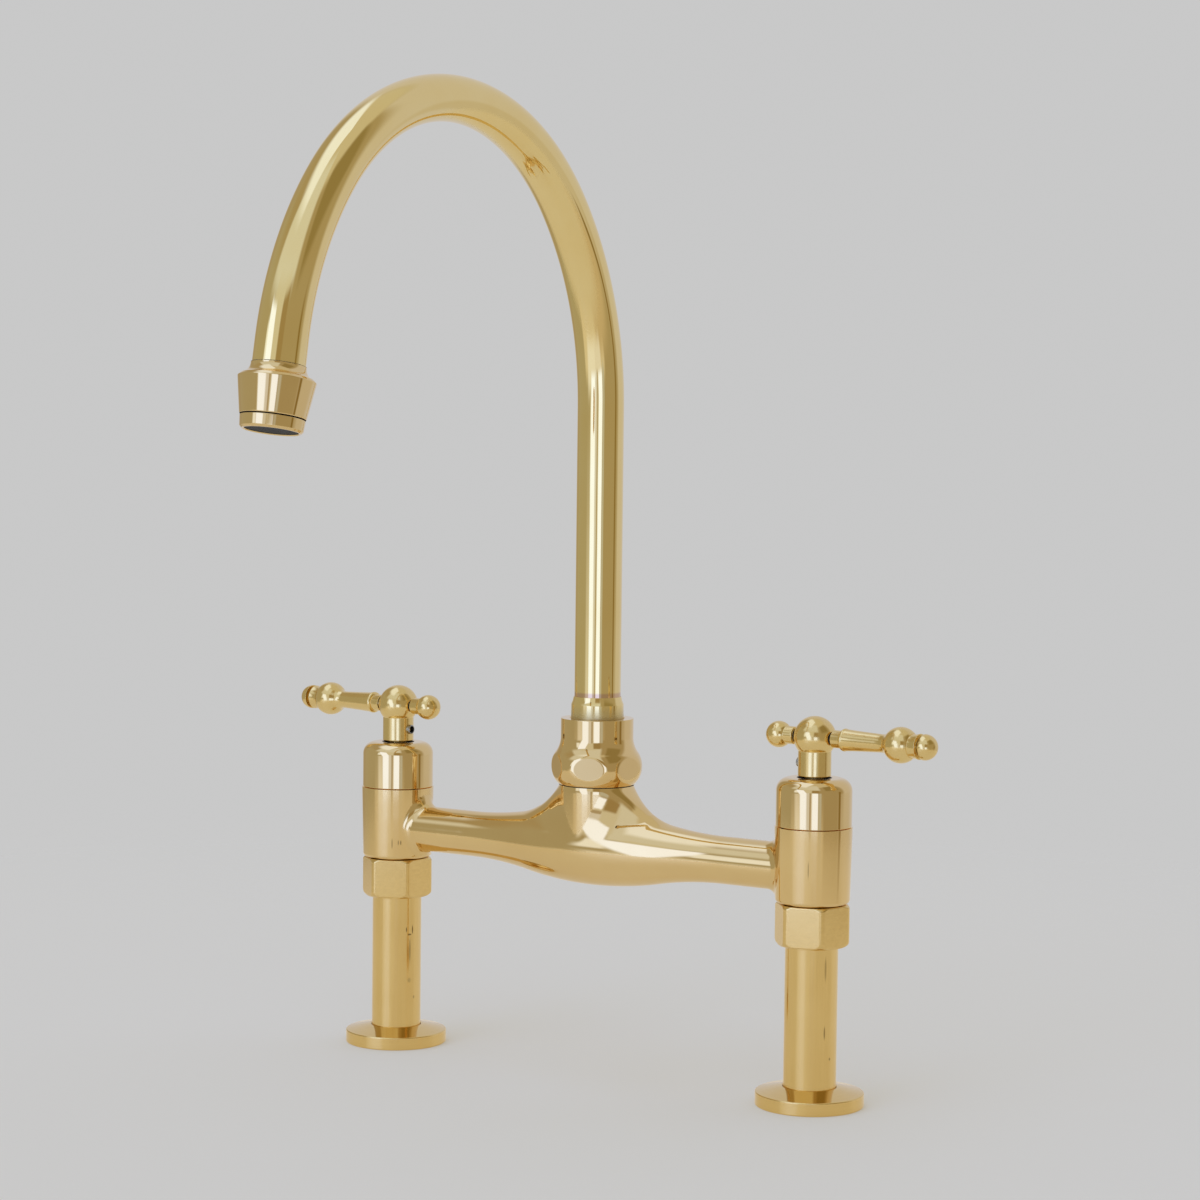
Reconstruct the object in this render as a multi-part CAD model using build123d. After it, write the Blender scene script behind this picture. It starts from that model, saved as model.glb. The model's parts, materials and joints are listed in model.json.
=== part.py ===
"""Bridge kitchen faucet: cast, turned and brazed brass. Millimetres, +Z up.

The origin lies on the deck, midway between the two inlets. +X runs to the right along the bridge, and
the spout reaches towards -Y. Every height is worked out from the deck upwards.
"""
from build123d import *
import os
from math import cos, radians, sin, tan

# ---------------------------------------------------------------- driving sizes

# Layout
inlet_spacing = 203.2        # between the two inlets: 8 inch centres
side_sign = {"left": -1, "right": 1}
handle_turn = {"left": 175.0, "right": -5.0}     # degrees, where each lever points
union_nut_turn = {"left": 23.5, "right": 13.5}   # degrees, where a corner of each hexagon stands

# Clearances
thread_clearance = 0.05      # between two threads that are left plain
slip_clearance = 0.1         # a piece that slides over another before it is clamped
seat_clearance = 0.05        # a turned tenon in its socket
running_clearance = 0.08     # a plug or spindle that turns in its bore
open_joint = 0.3             # a joint between metal faces that stays open
overcut = 1.0                # how far a cutter runs past the face that it opens

# Legs, flanges and unions
leg_radius = 10.45           # half-inch pipe
leg_bore_radius = 6.5
leg_height = 69.0            # deck to the sealing face
foot_thread_radius = 7.475   # core of the three-eighths inlet thread
foot_thread_length = 12.0
leg_collar_height = 2.8
leg_collar_width = 0.95
leg_washer_thickness = 1.5
flange_radius = 21.5
flange_rim_height = 5.3
flange_cone_height = 2.4
flange_edge_break = 0.5
union_nut_web = 2.8
union_nut_wall = 1.8         # behind the flats
union_nut_corner = 2.0       # rounding between two flats
union_nut_round = 2.6        # turned rounding below
union_nut_break = 1.1        # turned break above

# Valve bodies
spigot_length = 9.8
valve_body_height = 30.0
valve_body_draft = 0.7
valve_body_step = 0.3        # how far it stands proud of the bonnet
valve_body_round = 1.5
valve_neck_height = 6.0
valve_neck_wall = 2.0
arm_fillet = 5.0

# Bridge and spout hub
waterway_rise = 12.9         # underside of the valve bodies to the waterway
waterway_radius = 5.0
arm_radius = 9.5
belly_radius = 15.7
belly_reach = 62.0           # where the arm starts to swell
saddle_radius = 25.0         # blend between hub and arms
hub_rise = 25.8              # waterway to the hub's shoulder
hub_draft = 0.5
hub_neck_height = 12.0
hub_neck_wall = 3.7
hub_well_radius = 7.0
hub_well_depth = 5.5         # below the waterway
saddle_flare_drop = 9.8      # hollow flare turned under the shoulder
saddle_flare_width = 10.55
saddle_flare_start = 20.0    # degrees off upright, at the shoulder
saddle_flare_end = 54.1      # degrees off upright, where it meets the blend

# Cartridges
cartridge_radius = 10.9
cartridge_port_drop = 5.2    # waterway to the socket's floor
inlet_passage_radius = 6.0
seat_ring_height = 2.0
seat_ring_wall = 1.9
disc_thickness = 2.4
disc_window_hub = 2.4
disc_window_angle = 35.0     # half of each window
disc_window_rim = 1.6
disc_shut_turn = 90.0        # degrees from the lower disc's windows to the upper one's, valve shut
gallery_depth = 1.5
gallery_height = 12.5
cartridge_chamber_height = 4.4
cartridge_port_width = 5.0
cartridge_flange_height = 2.5
cartridge_flange_lap = 0.3
cartridge_top_wall = 4.55
cartridge_top_height = 6.6
cartridge_seal_section = 0.75
cartridge_seal_rise = 6.5    # above the gallery

# Bonnets
bonnet_height = 18.9
bonnet_wall = 1.95
bonnet_web = 3.5
bonnet_round = 5.0
bonnet_hole_play = 1.3
bonnet_top_play = 0.5

# Handles
spindle_radius = 4.0
spindle_foot_width = 1.0
spindle_foot_play = 0.2
tongue_length = 10.0
tongue_width = 2.4
tongue_depth = 1.2
handle_gap = 0.6             # bonnet to the handle's neck
handle_neck_radius = 6.55
handle_neck_height = 15.2    # underside of the neck to the ball's centre
handle_neck_break = 0.5
handle_ball_radius = 8.4
handle_socket_depth = 11.6
seat_offset = 7.6            # ball's centre to the faced seats
tenon_radius = 2.5
tenon_web = 0.9              # half the metal left between the two sockets
grub_screw_radius = 2.0
grub_screw_rise = 5.0
grub_screw_stand = 1.2       # how far it stands out of the neck
grub_socket_radius = 1.15
grub_socket_depth = 1.6

# Lever, along its own axis from the ball's centre
groove_radius = 2.7          # stem between the ball and the neck of lever or stub
groove_end = 9.1
lever_neck_radius = 3.5
lever_neck_end = 13.0
lever_bead_radius = 4.45
lever_bead_length = 1.8
lever_shaft_radius = 4.3
lever_waist_radius = 3.55
bulb_radius = 7.05
bulb_reach = 39.5
bulb_flare = 5.0             # hollow between shaft and bulb
bulb_end = 5.1               # from the bulb's centre to the foot of the end collar
lever_collar_radius = 4.6
lever_rim_radius = 5.05
lever_end = 48.3
finial_radius = 5.05
finial_reach = 50.3
finial_base = 50.0           # flat back of the end knob
finial_neck_radius = 3.3
finial_spigot_radius = 2.0
finial_spigot_length = 4.0
stub_ball_radius = 5.25
stub_reach = 17.0
stub_neck_radius = 3.5

# Spout nut
spout_nut_washer_thickness = 0.3
spout_nut_height = 27.0
spout_nut_rim = 3.5          # around the bore at the top
spout_nut_foot_wall = 2.3
spout_nut_bulge = 3.17       # how far the bell stands out over its foot
spout_nut_bulge_rise = 6.6
spout_nut_waist_rise = 13.0
spout_nut_skirt_rise = 19.3
spout_nut_waist_width = 2.05
spout_nut_flat_depth = 1.37
spout_nut_turn = 22.0        # degrees, where a corner between two flats stands
spout_nut_play = 0.65        # around the sleeve

# Spout tail and rings
lower_slip_ring_thickness = 0.6
upper_slip_ring_thickness = 1.2
slip_ring_play = 0.4
tail_collar_height = 2.8
tail_collar_width = 1.8
tail_plug_radius = 9.42
tail_plug_length = 27.6
tail_bore_radius = 6.5
sleeve_height = 20.8
sleeve_wall = 1.24
sleeve_cone_height = 3.2     # taper up to the tube
sleeve_cone_width = 1.0
tube_socket_depth = 11.2
seal_section = 0.9
seal_rises = (7.0, 18.0)     # up from the plug's end
seal_groove_play = 0.02

# Gooseneck
tube_radius = 9.525          # three-quarter-inch tube
tube_wall = 1.2
tube_joint_clearance = 0.035
riser_height = 141.9         # hub neck to the start of the arch
arch_side_radius = 125.0
arch_side_turn = 40.0
arch_top_radius = 96.4
arch_top_turn = 100.0
arch_end_turn = 30.0
tube_tail_length = 8.6

# Outlet, along its own axis from the tube's braze line
outlet_socket_depth = 3.5
outlet_lip_wall = 0.25
outlet_lip_length = 0.3
outlet_cove_radius = 12.9
outlet_cove_reach = 4.3
outlet_shoulder_radius = 13.9
outlet_shoulder_reach = 5.3
outlet_shoulder_break = 0.7
outlet_foot_radius = 11.8
outlet_length = 18.5
outlet_thread_reach = 9.0
aerator_washer_thickness = 1.4
aerator_washer_bore = 7.0
aerator_ring_lip = 1.15      # how far it stands out past its own thread
aerator_ring_taper = 0.4
aerator_ring_height = 4.7
aerator_ring_round = 0.7
aerator_thread_wall = 0.9
aerator_insert_radius = 9.5
aerator_insert_reach = 12.0
aerator_insert_set_back = 0.4
aerator_groove_radii = (2.0, 4.2, 6.4)
aerator_groove_width = 1.1
aerator_groove_depth = 1.5

# ---------------------------------------------------------------- worked-out places

pillar_x = inlet_spacing / 2

# Heights of one valve pillar, from the deck up
spigot_foot = leg_height + leg_washer_thickness
body_base = spigot_foot + spigot_length
body_top = body_base + valve_body_height
valve_neck_top = body_top + valve_neck_height
waterway = body_base + waterway_rise
cartridge_flange_top = valve_neck_top + cartridge_flange_height
bonnet_base = body_top + open_joint
bonnet_top = bonnet_base + bonnet_height
neck_base = bonnet_top + handle_gap
lever_axis = neck_base + handle_neck_height

# Heights inside one cartridge
socket_floor = waterway - cartridge_port_drop
fixed_disc_base = socket_floor + seat_ring_height
moving_disc_base = fixed_disc_base + disc_thickness
spindle_foot_base = moving_disc_base + disc_thickness
chamber_roof = spindle_foot_base + cartridge_chamber_height
gallery_top = socket_floor + gallery_height

# Heights of the spout
hub_top = waterway + hub_rise
hub_neck_top = hub_top + hub_neck_height
spout_nut_base = hub_top + spout_nut_washer_thickness
spout_nut_top = spout_nut_base + spout_nut_height
tail_collar_base = hub_neck_top + lower_slip_ring_thickness
tail_collar_top = tail_collar_base + tail_collar_height
upper_slip_ring_top = tail_collar_top + upper_slip_ring_thickness
spout_nut_web_base = upper_slip_ring_top + open_joint
tail_foot = tail_collar_base - tail_plug_length
sleeve_top = tail_collar_top + sleeve_height
tube_base = sleeve_top - tube_socket_depth
arch_base = hub_neck_top + riser_height

# Radii that follow from what fits inside them
leg_collar_radius = leg_radius + leg_collar_width
spigot_radius = leg_collar_radius + slip_clearance
union_nut_bore = spigot_radius + thread_clearance
union_nut_across_flats = 2 * (union_nut_bore + union_nut_wall)
socket_radius = cartridge_radius + slip_clearance
valve_neck_radius = socket_radius + valve_neck_wall
bonnet_bore = valve_neck_radius + thread_clearance
bonnet_radius = bonnet_bore + bonnet_wall
valve_body_radius = bonnet_radius + valve_body_step
spindle_bore = spindle_radius + running_clearance
cartridge_top_radius = spindle_bore + cartridge_top_wall
seat_ring_radius = inlet_passage_radius + seat_ring_wall
chamber_radius = seat_ring_radius + slip_clearance
gallery_radius = cartridge_radius - gallery_depth
hub_bore = tail_plug_radius + running_clearance
hub_neck_radius = hub_bore + hub_neck_wall
spout_nut_bore = hub_neck_radius + thread_clearance
spout_nut_foot_radius = spout_nut_bore + spout_nut_foot_wall
spout_nut_bulge_radius = spout_nut_foot_radius + spout_nut_bulge
hub_radius = spout_nut_foot_radius - slip_clearance
tube_socket_radius = tube_radius + tube_joint_clearance
sleeve_radius = tube_socket_radius + sleeve_wall
spout_nut_throat = sleeve_radius + spout_nut_play
tail_collar_radius = sleeve_radius + tail_collar_width
tenon_socket_radius = tenon_radius + seat_clearance
aerator_bore = aerator_insert_radius + seat_clearance
aerator_thread_radius = aerator_bore + aerator_thread_wall
aerator_ring_radius = aerator_thread_radius + aerator_ring_lip
outlet_thread_radius = aerator_thread_radius + thread_clearance


# ---------------------------------------------------------------- helpers

def turned(outline):
    """Turn a closed outline, drawn as (radius, height), about the Z axis."""
    return revolve(Plane.XZ * make_face(outline), Axis.Z)


def corners(*points):
    """Close a straight-sided outline."""
    return Polyline(*points, close=True)


def ring(inner, outer, low, high):
    """A plain turned ring between two heights."""
    return turned(corners((inner, low), (outer, low), (outer, high), (inner, high)))


def drill(radius, low, high):
    """A round cutter on the Z axis."""
    return Pos(0, 0, low) * Cylinder(radius, high - low, align=(Align.CENTER, Align.CENTER, Align.MIN))


def o_ring(outer_radius, section, height):
    """A round rubber ring, given by the radius that it reaches."""
    return Pos(0, 0, height) * Torus(outer_radius - section, section)


def along_x(piece):
    """Lay a piece that was turned about Z along the X axis."""
    return Rot(0, 90, 0) * piece


# ---------------------------------------------------------------- legs and unions

def leg():
    """Inlet tube with a collar for the union and a threaded core at its foot."""
    collar_base = leg_height - leg_collar_height
    outline = corners(
        (foot_thread_radius, 0),
        (leg_radius, 0),
        (leg_radius, collar_base),
        (leg_collar_radius, collar_base),
        (leg_collar_radius, leg_height),
        (leg_bore_radius, leg_height),
        (leg_bore_radius, foot_thread_length),
        (foot_thread_radius, foot_thread_length),
    )
    return turned(outline)


def leg_washer():
    """Flat seal between leg and spigot."""
    return ring(leg_bore_radius + slip_clearance, leg_collar_radius, leg_height, spigot_foot)


def base_flange():
    """Slip-on deck flange: a plain rim under a shallow cone."""
    bore = leg_radius + slip_clearance
    top = flange_rim_height + flange_cone_height
    outline = corners(
        (bore, 0),
        (flange_radius, 0),
        (flange_radius, flange_rim_height - flange_edge_break),
        (flange_radius - flange_edge_break, flange_rim_height),
        (bore, top),
    )
    return turned(outline)


def union_nut(turn):
    """Hexagon nut whose corners are turned round, with a web under the leg's collar."""
    base = leg_height - leg_collar_height - union_nut_web
    top = body_base - open_joint
    across_corners = union_nut_across_flats / cos(radians(30))
    hexagon = RegularPolygon(across_corners / 2, 6, rotation=turn)
    hexagon = fillet(hexagon.vertices(), union_nut_corner)
    prism = Pos(0, 0, base) * extrude(hexagon, top - base)
    reach = (union_nut_across_flats / 2 - union_nut_corner) / cos(radians(30)) + union_nut_corner
    turned_blank = turned(Curve() + [
        Line((0, base), (reach - union_nut_round, base)),
        TangentArc((reach - union_nut_round, base), (reach, base + union_nut_round), tangent=(1, 0)),
        Line((reach, base + union_nut_round), (reach, top - union_nut_break)),
        Line((reach, top - union_nut_break), (reach - union_nut_break, top)),
        Line((reach - union_nut_break, top), (0, top)),
        Line((0, top), (0, base)),
    ])
    nut = prism & turned_blank
    nut -= drill(leg_radius + slip_clearance, base, top)
    return nut - drill(union_nut_bore, base + union_nut_web, top)


# ---------------------------------------------------------------- bridge casting

def bridge_arm():
    """The arm from valve to valve, swelling to a belly under the hub by two equal arcs a side."""
    turn_x = belly_reach / 2
    turn_r = (arm_radius + belly_radius) / 2
    edges = []
    for side in (-1, 1):
        edges += [
            Line((side * pillar_x, 0), (side * pillar_x, arm_radius)),
            Line((side * pillar_x, arm_radius), (side * belly_reach, arm_radius)),
            TangentArc((side * belly_reach, arm_radius), (side * turn_x, turn_r), tangent=(-side, 0)),
            TangentArc((0, belly_radius), (side * turn_x, turn_r), tangent=(side, 0)),
        ]
    edges.append(Line((-pillar_x, 0), (pillar_x, 0)))
    solid = revolve(Plane.XZ * make_face(edges), Axis.X)
    return Pos(0, 0, waterway) * Rot(180, 0, 0) * solid


def flare_middle():
    """Where the two end tangents of the flare meet, as (radius, height)."""
    start = tan(radians(saddle_flare_start))
    end = tan(radians(saddle_flare_end))
    drop = (end * saddle_flare_drop - saddle_flare_width) / (end - start)
    return hub_radius + start * drop, hub_top - drop


def spout_hub():
    """Hub blended into the arm by a wide saddle, with a turned shoulder for the spout nut."""
    blank_top = hub_top + 2 * saddle_radius
    flare_foot = (hub_radius + saddle_flare_width, hub_top - saddle_flare_drop)
    blank = turned(corners(
        (0, waterway),
        (hub_radius - hub_draft, waterway),
        (hub_radius, hub_top),
        (hub_radius, blank_top),
        (0, blank_top),
    ))
    body = bridge_arm() + blank
    saddle = [
        edge for edge in body.edges()
        if edge.bounding_box().size.X > hub_radius / 2
        and edge.bounding_box().size.Y > hub_radius / 2
        and waterway < edge.bounding_box().min.Z
        and edge.bounding_box().max.Z < waterway + belly_radius + overcut
    ]
    body = fillet(saddle, saddle_radius)
    beyond = belly_reach + saddle_radius
    body -= turned(Curve() + [
        Line((0, hub_top), (hub_radius, hub_top)),
        Bezier((hub_radius, hub_top), flare_middle(), flare_foot),
        Line(flare_foot, (beyond, flare_foot[1])),
        Line((beyond, flare_foot[1]), (beyond, blank_top + overcut)),
        Line((beyond, blank_top + overcut), (0, blank_top + overcut)),
        Line((0, blank_top + overcut), (0, hub_top)),
    ])
    return body + drill(hub_neck_radius, hub_top, hub_neck_top)


def valve_body():
    """Tapered valve body with its threaded neck above and spigot below."""
    base_radius = valve_body_radius - valve_body_draft
    round_start = (base_radius - valve_body_round, body_base)
    round_end = (base_radius, body_base + valve_body_round)
    return turned(Curve() + [
        Line((0, spigot_foot), (spigot_radius, spigot_foot)),
        Line((spigot_radius, spigot_foot), (spigot_radius, body_base)),
        Line((spigot_radius, body_base), round_start),
        TangentArc(round_start, round_end, tangent=(1, 0)),
        Line(round_end, (valve_body_radius, body_top)),
        Line((valve_body_radius, body_top), (valve_neck_radius, body_top)),
        Line((valve_neck_radius, body_top), (valve_neck_radius, valve_neck_top)),
        Line((valve_neck_radius, valve_neck_top), (0, valve_neck_top)),
        Line((0, valve_neck_top), (0, spigot_foot)),
    ])


def bridge_waterways():
    """Valve sockets, inlet passages, cross waterway and the spout's bore."""
    cutters = []
    for side in side_sign.values():
        socket = drill(socket_radius, socket_floor, valve_neck_top)
        passage = drill(inlet_passage_radius, spigot_foot, socket_floor)
        cutters.append(Pos(side * pillar_x, 0, 0) * (socket + passage))
    cross = along_x(Cylinder(waterway_radius, inlet_spacing))
    cutters.append(Pos(0, 0, waterway) * cross)
    well = drill(hub_well_radius, waterway - hub_well_depth, tail_foot)
    cutters.append(well + drill(hub_bore, tail_foot - open_joint, hub_neck_top))
    return cutters


def bridge_body():
    """The whole casting."""
    body = spout_hub()
    for side in side_sign.values():
        body += Pos(side * pillar_x, 0, 0) * valve_body()
    wall_x = pillar_x - valve_body_radius
    roots = [
        edge for edge in body.edges()
        if abs(abs(edge.center().X) - wall_x) < arm_fillet
        and edge.bounding_box().size.Y > arm_radius / 2
        and abs(edge.center().Z - waterway) < arm_radius
    ]
    body = fillet(roots, arm_fillet)
    for cutter in bridge_waterways():
        body -= cutter
    return body


# ---------------------------------------------------------------- cartridges and bonnets

def seat_ring():
    """Rubber seat that presses the discs together."""
    return ring(inlet_passage_radius, seat_ring_radius, socket_floor, fixed_disc_base)


def disc(base, turn):
    """Ceramic disc with two sector windows."""
    rim = seat_ring_radius - disc_window_rim
    reach = 2 * rim
    wedge = make_face(corners(
        (0, 0),
        (reach * cos(radians(disc_window_angle)), reach * sin(radians(disc_window_angle))),
        (reach * cos(radians(disc_window_angle)), -reach * sin(radians(disc_window_angle))),
    ))
    window = (Circle(rim) - Circle(disc_window_hub)) & wedge
    blank = drill(seat_ring_radius, base, base + disc_thickness)
    for half_turn in (0, 180):
        opening = Pos(0, 0, base) * Rot(0, 0, turn + half_turn) * extrude(window, disc_thickness)
        blank -= opening
    return blank


def tongue(play):
    """The key that turns the moving disc, grown by the given play."""
    base = spindle_foot_base - tongue_depth - play
    height = tongue_depth + play
    block = Box(tongue_length + 2 * play, tongue_width + 2 * play, height,
                align=(Align.CENTER, Align.CENTER, Align.MIN))
    return Pos(0, 0, base) * block


def moving_disc():
    """Upper disc: its windows stand across the lower ones while the valve is shut."""
    return disc(moving_disc_base, disc_shut_turn) - tongue(seat_clearance)


def cartridge_body():
    """Turned shell: open chamber below, four side ports, guide, flange and spindle bearing."""
    shell_flange_radius = valve_neck_radius - cartridge_flange_lap
    top = cartridge_flange_top + cartridge_top_height
    shell = turned(corners(
        (spindle_bore, chamber_roof),
        (chamber_radius, chamber_roof),
        (chamber_radius, socket_floor),
        (gallery_radius, socket_floor),
        (gallery_radius, gallery_top),
        (cartridge_radius, gallery_top),
        (cartridge_radius, valve_neck_top),
        (shell_flange_radius, valve_neck_top),
        (shell_flange_radius, cartridge_flange_top),
        (cartridge_top_radius, cartridge_flange_top),
        (cartridge_top_radius, top),
        (spindle_bore, top),
    ))
    port_height = cartridge_chamber_height - 2 * spindle_foot_play
    port = Box(3 * cartridge_radius, cartridge_port_width, port_height,
               align=(Align.CENTER, Align.CENTER, Align.MIN))
    for turn in (0, 90):
        shell -= Pos(0, 0, spindle_foot_base + spindle_foot_play) * Rot(0, 0, turn) * port
    groove_half = cartridge_seal_section + seal_groove_play
    groove_low = gallery_top + cartridge_seal_rise - groove_half
    groove_floor = cartridge_radius - 2 * groove_half
    groove_mouth = cartridge_radius + overcut
    return shell - ring(groove_floor, groove_mouth, groove_low, groove_low + 2 * groove_half)


def cartridge_seal():
    """O-ring round the cartridge's guide."""
    return o_ring(cartridge_radius, cartridge_seal_section, gallery_top + cartridge_seal_rise)


def bonnet():
    """Round cover screwed over the valve's neck, which clamps the cartridge's flange."""
    shoulder_bore = cartridge_top_radius + bonnet_top_play
    hole = spindle_radius + bonnet_hole_play
    cover = turned(corners(
        (bonnet_bore, bonnet_base),
        (bonnet_radius, bonnet_base),
        (bonnet_radius, bonnet_top),
        (hole, bonnet_top),
        (hole, bonnet_top - bonnet_web),
        (shoulder_bore, bonnet_top - bonnet_web),
        (shoulder_bore, cartridge_flange_top),
        (bonnet_bore, cartridge_flange_top),
    ))
    top_edge = cover.edges().filter_by(GeomType.CIRCLE).group_by(Axis.Z)[-1].sort_by(SortBy.RADIUS)[-1]
    return fillet(top_edge, bonnet_round)


def spindle():
    """Spindle with its foot, the tongue below it and the stem up into the handle."""
    foot_radius = spindle_radius + spindle_foot_width
    foot_top = chamber_roof - spindle_foot_play
    stem_top = neck_base + handle_socket_depth
    body = turned(corners(
        (0, spindle_foot_base),
        (foot_radius, spindle_foot_base),
        (foot_radius, foot_top),
        (spindle_radius, foot_top),
        (spindle_radius, stem_top),
        (0, stem_top),
    ))
    return body + tongue(0)


# ---------------------------------------------------------------- handles, lever along +X

def handle_hub():
    """Ball on a round neck, faced and bored for the lever and the stub, and drilled for the spindle."""
    neck = drill(handle_neck_radius, neck_base, lever_axis)
    neck = chamfer(neck.edges().filter_by(GeomType.CIRCLE).sort_by(Axis.Z)[0], handle_neck_break)
    hub = neck + Pos(0, 0, lever_axis) * Sphere(handle_ball_radius)
    facing = Box(handle_ball_radius, 2 * handle_ball_radius, 2 * handle_ball_radius,
                 align=(Align.MIN, Align.CENTER, Align.CENTER))
    tenon_socket = along_x(drill(tenon_socket_radius, tenon_web, handle_ball_radius))
    for turn in (0, 180):
        at_ball = Pos(0, 0, lever_axis) * Rot(0, 0, turn)
        hub -= at_ball * Pos(seat_offset, 0, 0) * facing
        hub -= at_ball * tenon_socket
    hub -= drill(spindle_radius + seat_clearance, neck_base, neck_base + handle_socket_depth + seat_clearance)
    hub -= grub_axis() * along_x(drill(grub_screw_radius + seat_clearance, 0, handle_ball_radius))
    return hub


def grub_axis():
    """Where the set screw's own +X axis lies: under the stub."""
    return Pos(0, 0, neck_base + grub_screw_rise) * Rot(0, 0, 180)


def grub_screw():
    """Set screw with a hexagon socket, pressed against the spindle."""
    tip = spindle_radius + seat_clearance
    head = handle_neck_radius + grub_screw_stand
    screw = drill(grub_screw_radius, tip, head)
    key = extrude(RegularPolygon(grub_socket_radius, 6), grub_socket_depth)
    screw -= Pos(0, 0, head - grub_socket_depth) * key
    return grub_axis() * along_x(screw)


def on_lever_axis(piece):
    """Lay a piece turned about Z along +X at the ball's height."""
    return Pos(0, 0, lever_axis) * along_x(piece)


def lever_bar():
    """Turned lever: tenon, grooved neck, bead, tapered shaft, bulb and flaring end collar."""
    bead_start = lever_neck_end
    bead_end = bead_start + lever_bead_length
    hollow_run = ((bulb_radius + bulb_flare) ** 2 - (lever_waist_radius + bulb_flare) ** 2) ** 0.5
    share = bulb_radius / (bulb_radius + bulb_flare)
    waist = (lever_waist_radius, bulb_reach - hollow_run)
    flare = ((lever_waist_radius + bulb_flare) * share, bulb_reach - hollow_run * share)
    collar_start = bulb_reach + bulb_end
    bulb_end_radius = (bulb_radius ** 2 - bulb_end ** 2) ** 0.5
    outline = Curve() + [
        Line((0, tenon_web), (tenon_radius, tenon_web)),
        Line((tenon_radius, tenon_web), (tenon_radius, seat_offset)),
        Line((tenon_radius, seat_offset), (groove_radius, seat_offset)),
        Line((groove_radius, seat_offset), (groove_radius, groove_end)),
        Line((groove_radius, groove_end), (lever_neck_radius, groove_end)),
        Line((lever_neck_radius, groove_end), (lever_neck_radius, bead_start)),
        ThreePointArc((lever_neck_radius, bead_start),
                      (lever_bead_radius, (bead_start + bead_end) / 2),
                      (lever_shaft_radius, bead_end)),
        Line((lever_shaft_radius, bead_end), waist),
        TangentArc(waist, flare, tangent=(0, 1)),
        ThreePointArc(flare, (bulb_radius, bulb_reach), (bulb_end_radius, collar_start)),
        Line((bulb_end_radius, collar_start), (lever_collar_radius, collar_start)),
        TangentArc((lever_collar_radius, collar_start), (lever_rim_radius, lever_end), tangent=(0, 1)),
        Line((lever_rim_radius, lever_end), (0, lever_end)),
        Line((0, lever_end), (0, tenon_web)),
    ]
    hole_floor = lever_end - finial_spigot_length - open_joint
    hole = drill(finial_spigot_radius + seat_clearance, hole_floor, lever_end)
    return on_lever_axis(turned(outline) - hole)


def lever_finial():
    """Flat-backed knob screwed into the lever's end, with a narrow neck that leaves a groove."""
    neck = drill(finial_neck_radius, lever_end, finial_reach)
    spigot = drill(finial_spigot_radius, lever_end - finial_spigot_length, lever_end)
    knob = Pos(0, 0, finial_reach) * Sphere(finial_radius)
    knob -= drill(2 * finial_radius, finial_reach - 2 * finial_radius, finial_base)
    return on_lever_axis(knob + neck + spigot)


def stub_knob():
    """Short knob screwed into the ball opposite the lever."""
    tenon = drill(tenon_radius, tenon_web, seat_offset)
    groove = drill(groove_radius, seat_offset, groove_end)
    neck = drill(stub_neck_radius, groove_end, stub_reach)
    ball = Pos(0, 0, stub_reach) * Sphere(stub_ball_radius)
    return Rot(0, 0, 180) * on_lever_axis(tenon + groove + neck + ball)


# ---------------------------------------------------------------- spout nut and slip rings

def spout_nut():
    """Bell-shaped nut: straight rim, hollow waist, full bulge, and six oval flats cut in the bulge."""
    rim_radius = spout_nut_throat + spout_nut_rim
    skirt = (rim_radius, spout_nut_base + spout_nut_skirt_rise)
    waist = (rim_radius + spout_nut_waist_width, spout_nut_base + spout_nut_waist_rise)
    bulge = (spout_nut_bulge_radius, spout_nut_base + spout_nut_bulge_rise)
    foot = (spout_nut_foot_radius, spout_nut_base)
    bell = turned(Curve() + [
        Line((0, spout_nut_top), (rim_radius, spout_nut_top)),
        Line((rim_radius, spout_nut_top), skirt),
        TangentArc(skirt, waist, tangent=(0, -1)),
        ThreePointArc(waist, bulge, foot),
        Line(foot, (0, spout_nut_base)),
        Line((0, spout_nut_base), (0, spout_nut_top)),
    ])
    across_flats = 2 * (spout_nut_bulge_radius - spout_nut_flat_depth)
    hexagon = RegularPolygon(across_flats / 2, 6, major_radius=False, rotation=spout_nut_turn)
    bell &= Pos(0, 0, spout_nut_base) * extrude(hexagon, spout_nut_height)
    bell -= drill(spout_nut_throat, spout_nut_base, spout_nut_top)
    return bell - drill(spout_nut_bore, spout_nut_base, spout_nut_web_base)


def spout_nut_washer():
    """Thin washer between the nut and the hub's shoulder."""
    return ring(spout_nut_bore, hub_radius - slip_clearance, hub_top, spout_nut_base)


def lower_slip_ring():
    """Ring that the spout's collar turns on."""
    return ring(tail_plug_radius + slip_ring_play, hub_neck_radius, hub_neck_top, tail_collar_base)


def upper_slip_ring():
    """Ring between the spout's collar and the nut's web."""
    inner = sleeve_radius + slip_ring_play
    return ring(inner, spout_nut_bore - slip_clearance, tail_collar_top, upper_slip_ring_top)


# ---------------------------------------------------------------- spout

def spout_tail():
    """Sleeve brazed round the tube, collar under the nut, and plug with two seal grooves."""
    brazed_edge = sleeve_radius - sleeve_cone_width
    tail = turned(corners(
        (tail_bore_radius, tail_foot),
        (tail_plug_radius, tail_foot),
        (tail_plug_radius, tail_collar_base),
        (tail_collar_radius, tail_collar_base),
        (tail_collar_radius, tail_collar_top),
        (sleeve_radius, tail_collar_top),
        (sleeve_radius, sleeve_top - sleeve_cone_height),
        (brazed_edge, sleeve_top),
        (tube_socket_radius, sleeve_top),
        (tube_socket_radius, tube_base),
        (tail_bore_radius, tube_base),
    ))
    groove_half = seal_section + seal_groove_play
    groove_floor = tail_plug_radius - 2 * groove_half
    for rise in seal_rises:
        height = tail_foot + rise
        tail -= ring(groove_floor, tail_plug_radius + overcut, height - groove_half, height + groove_half)
    return tail


def spout_seals():
    """The two O-rings on the plug."""
    return [o_ring(tail_plug_radius, seal_section, tail_foot + rise) for rise in seal_rises]


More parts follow.
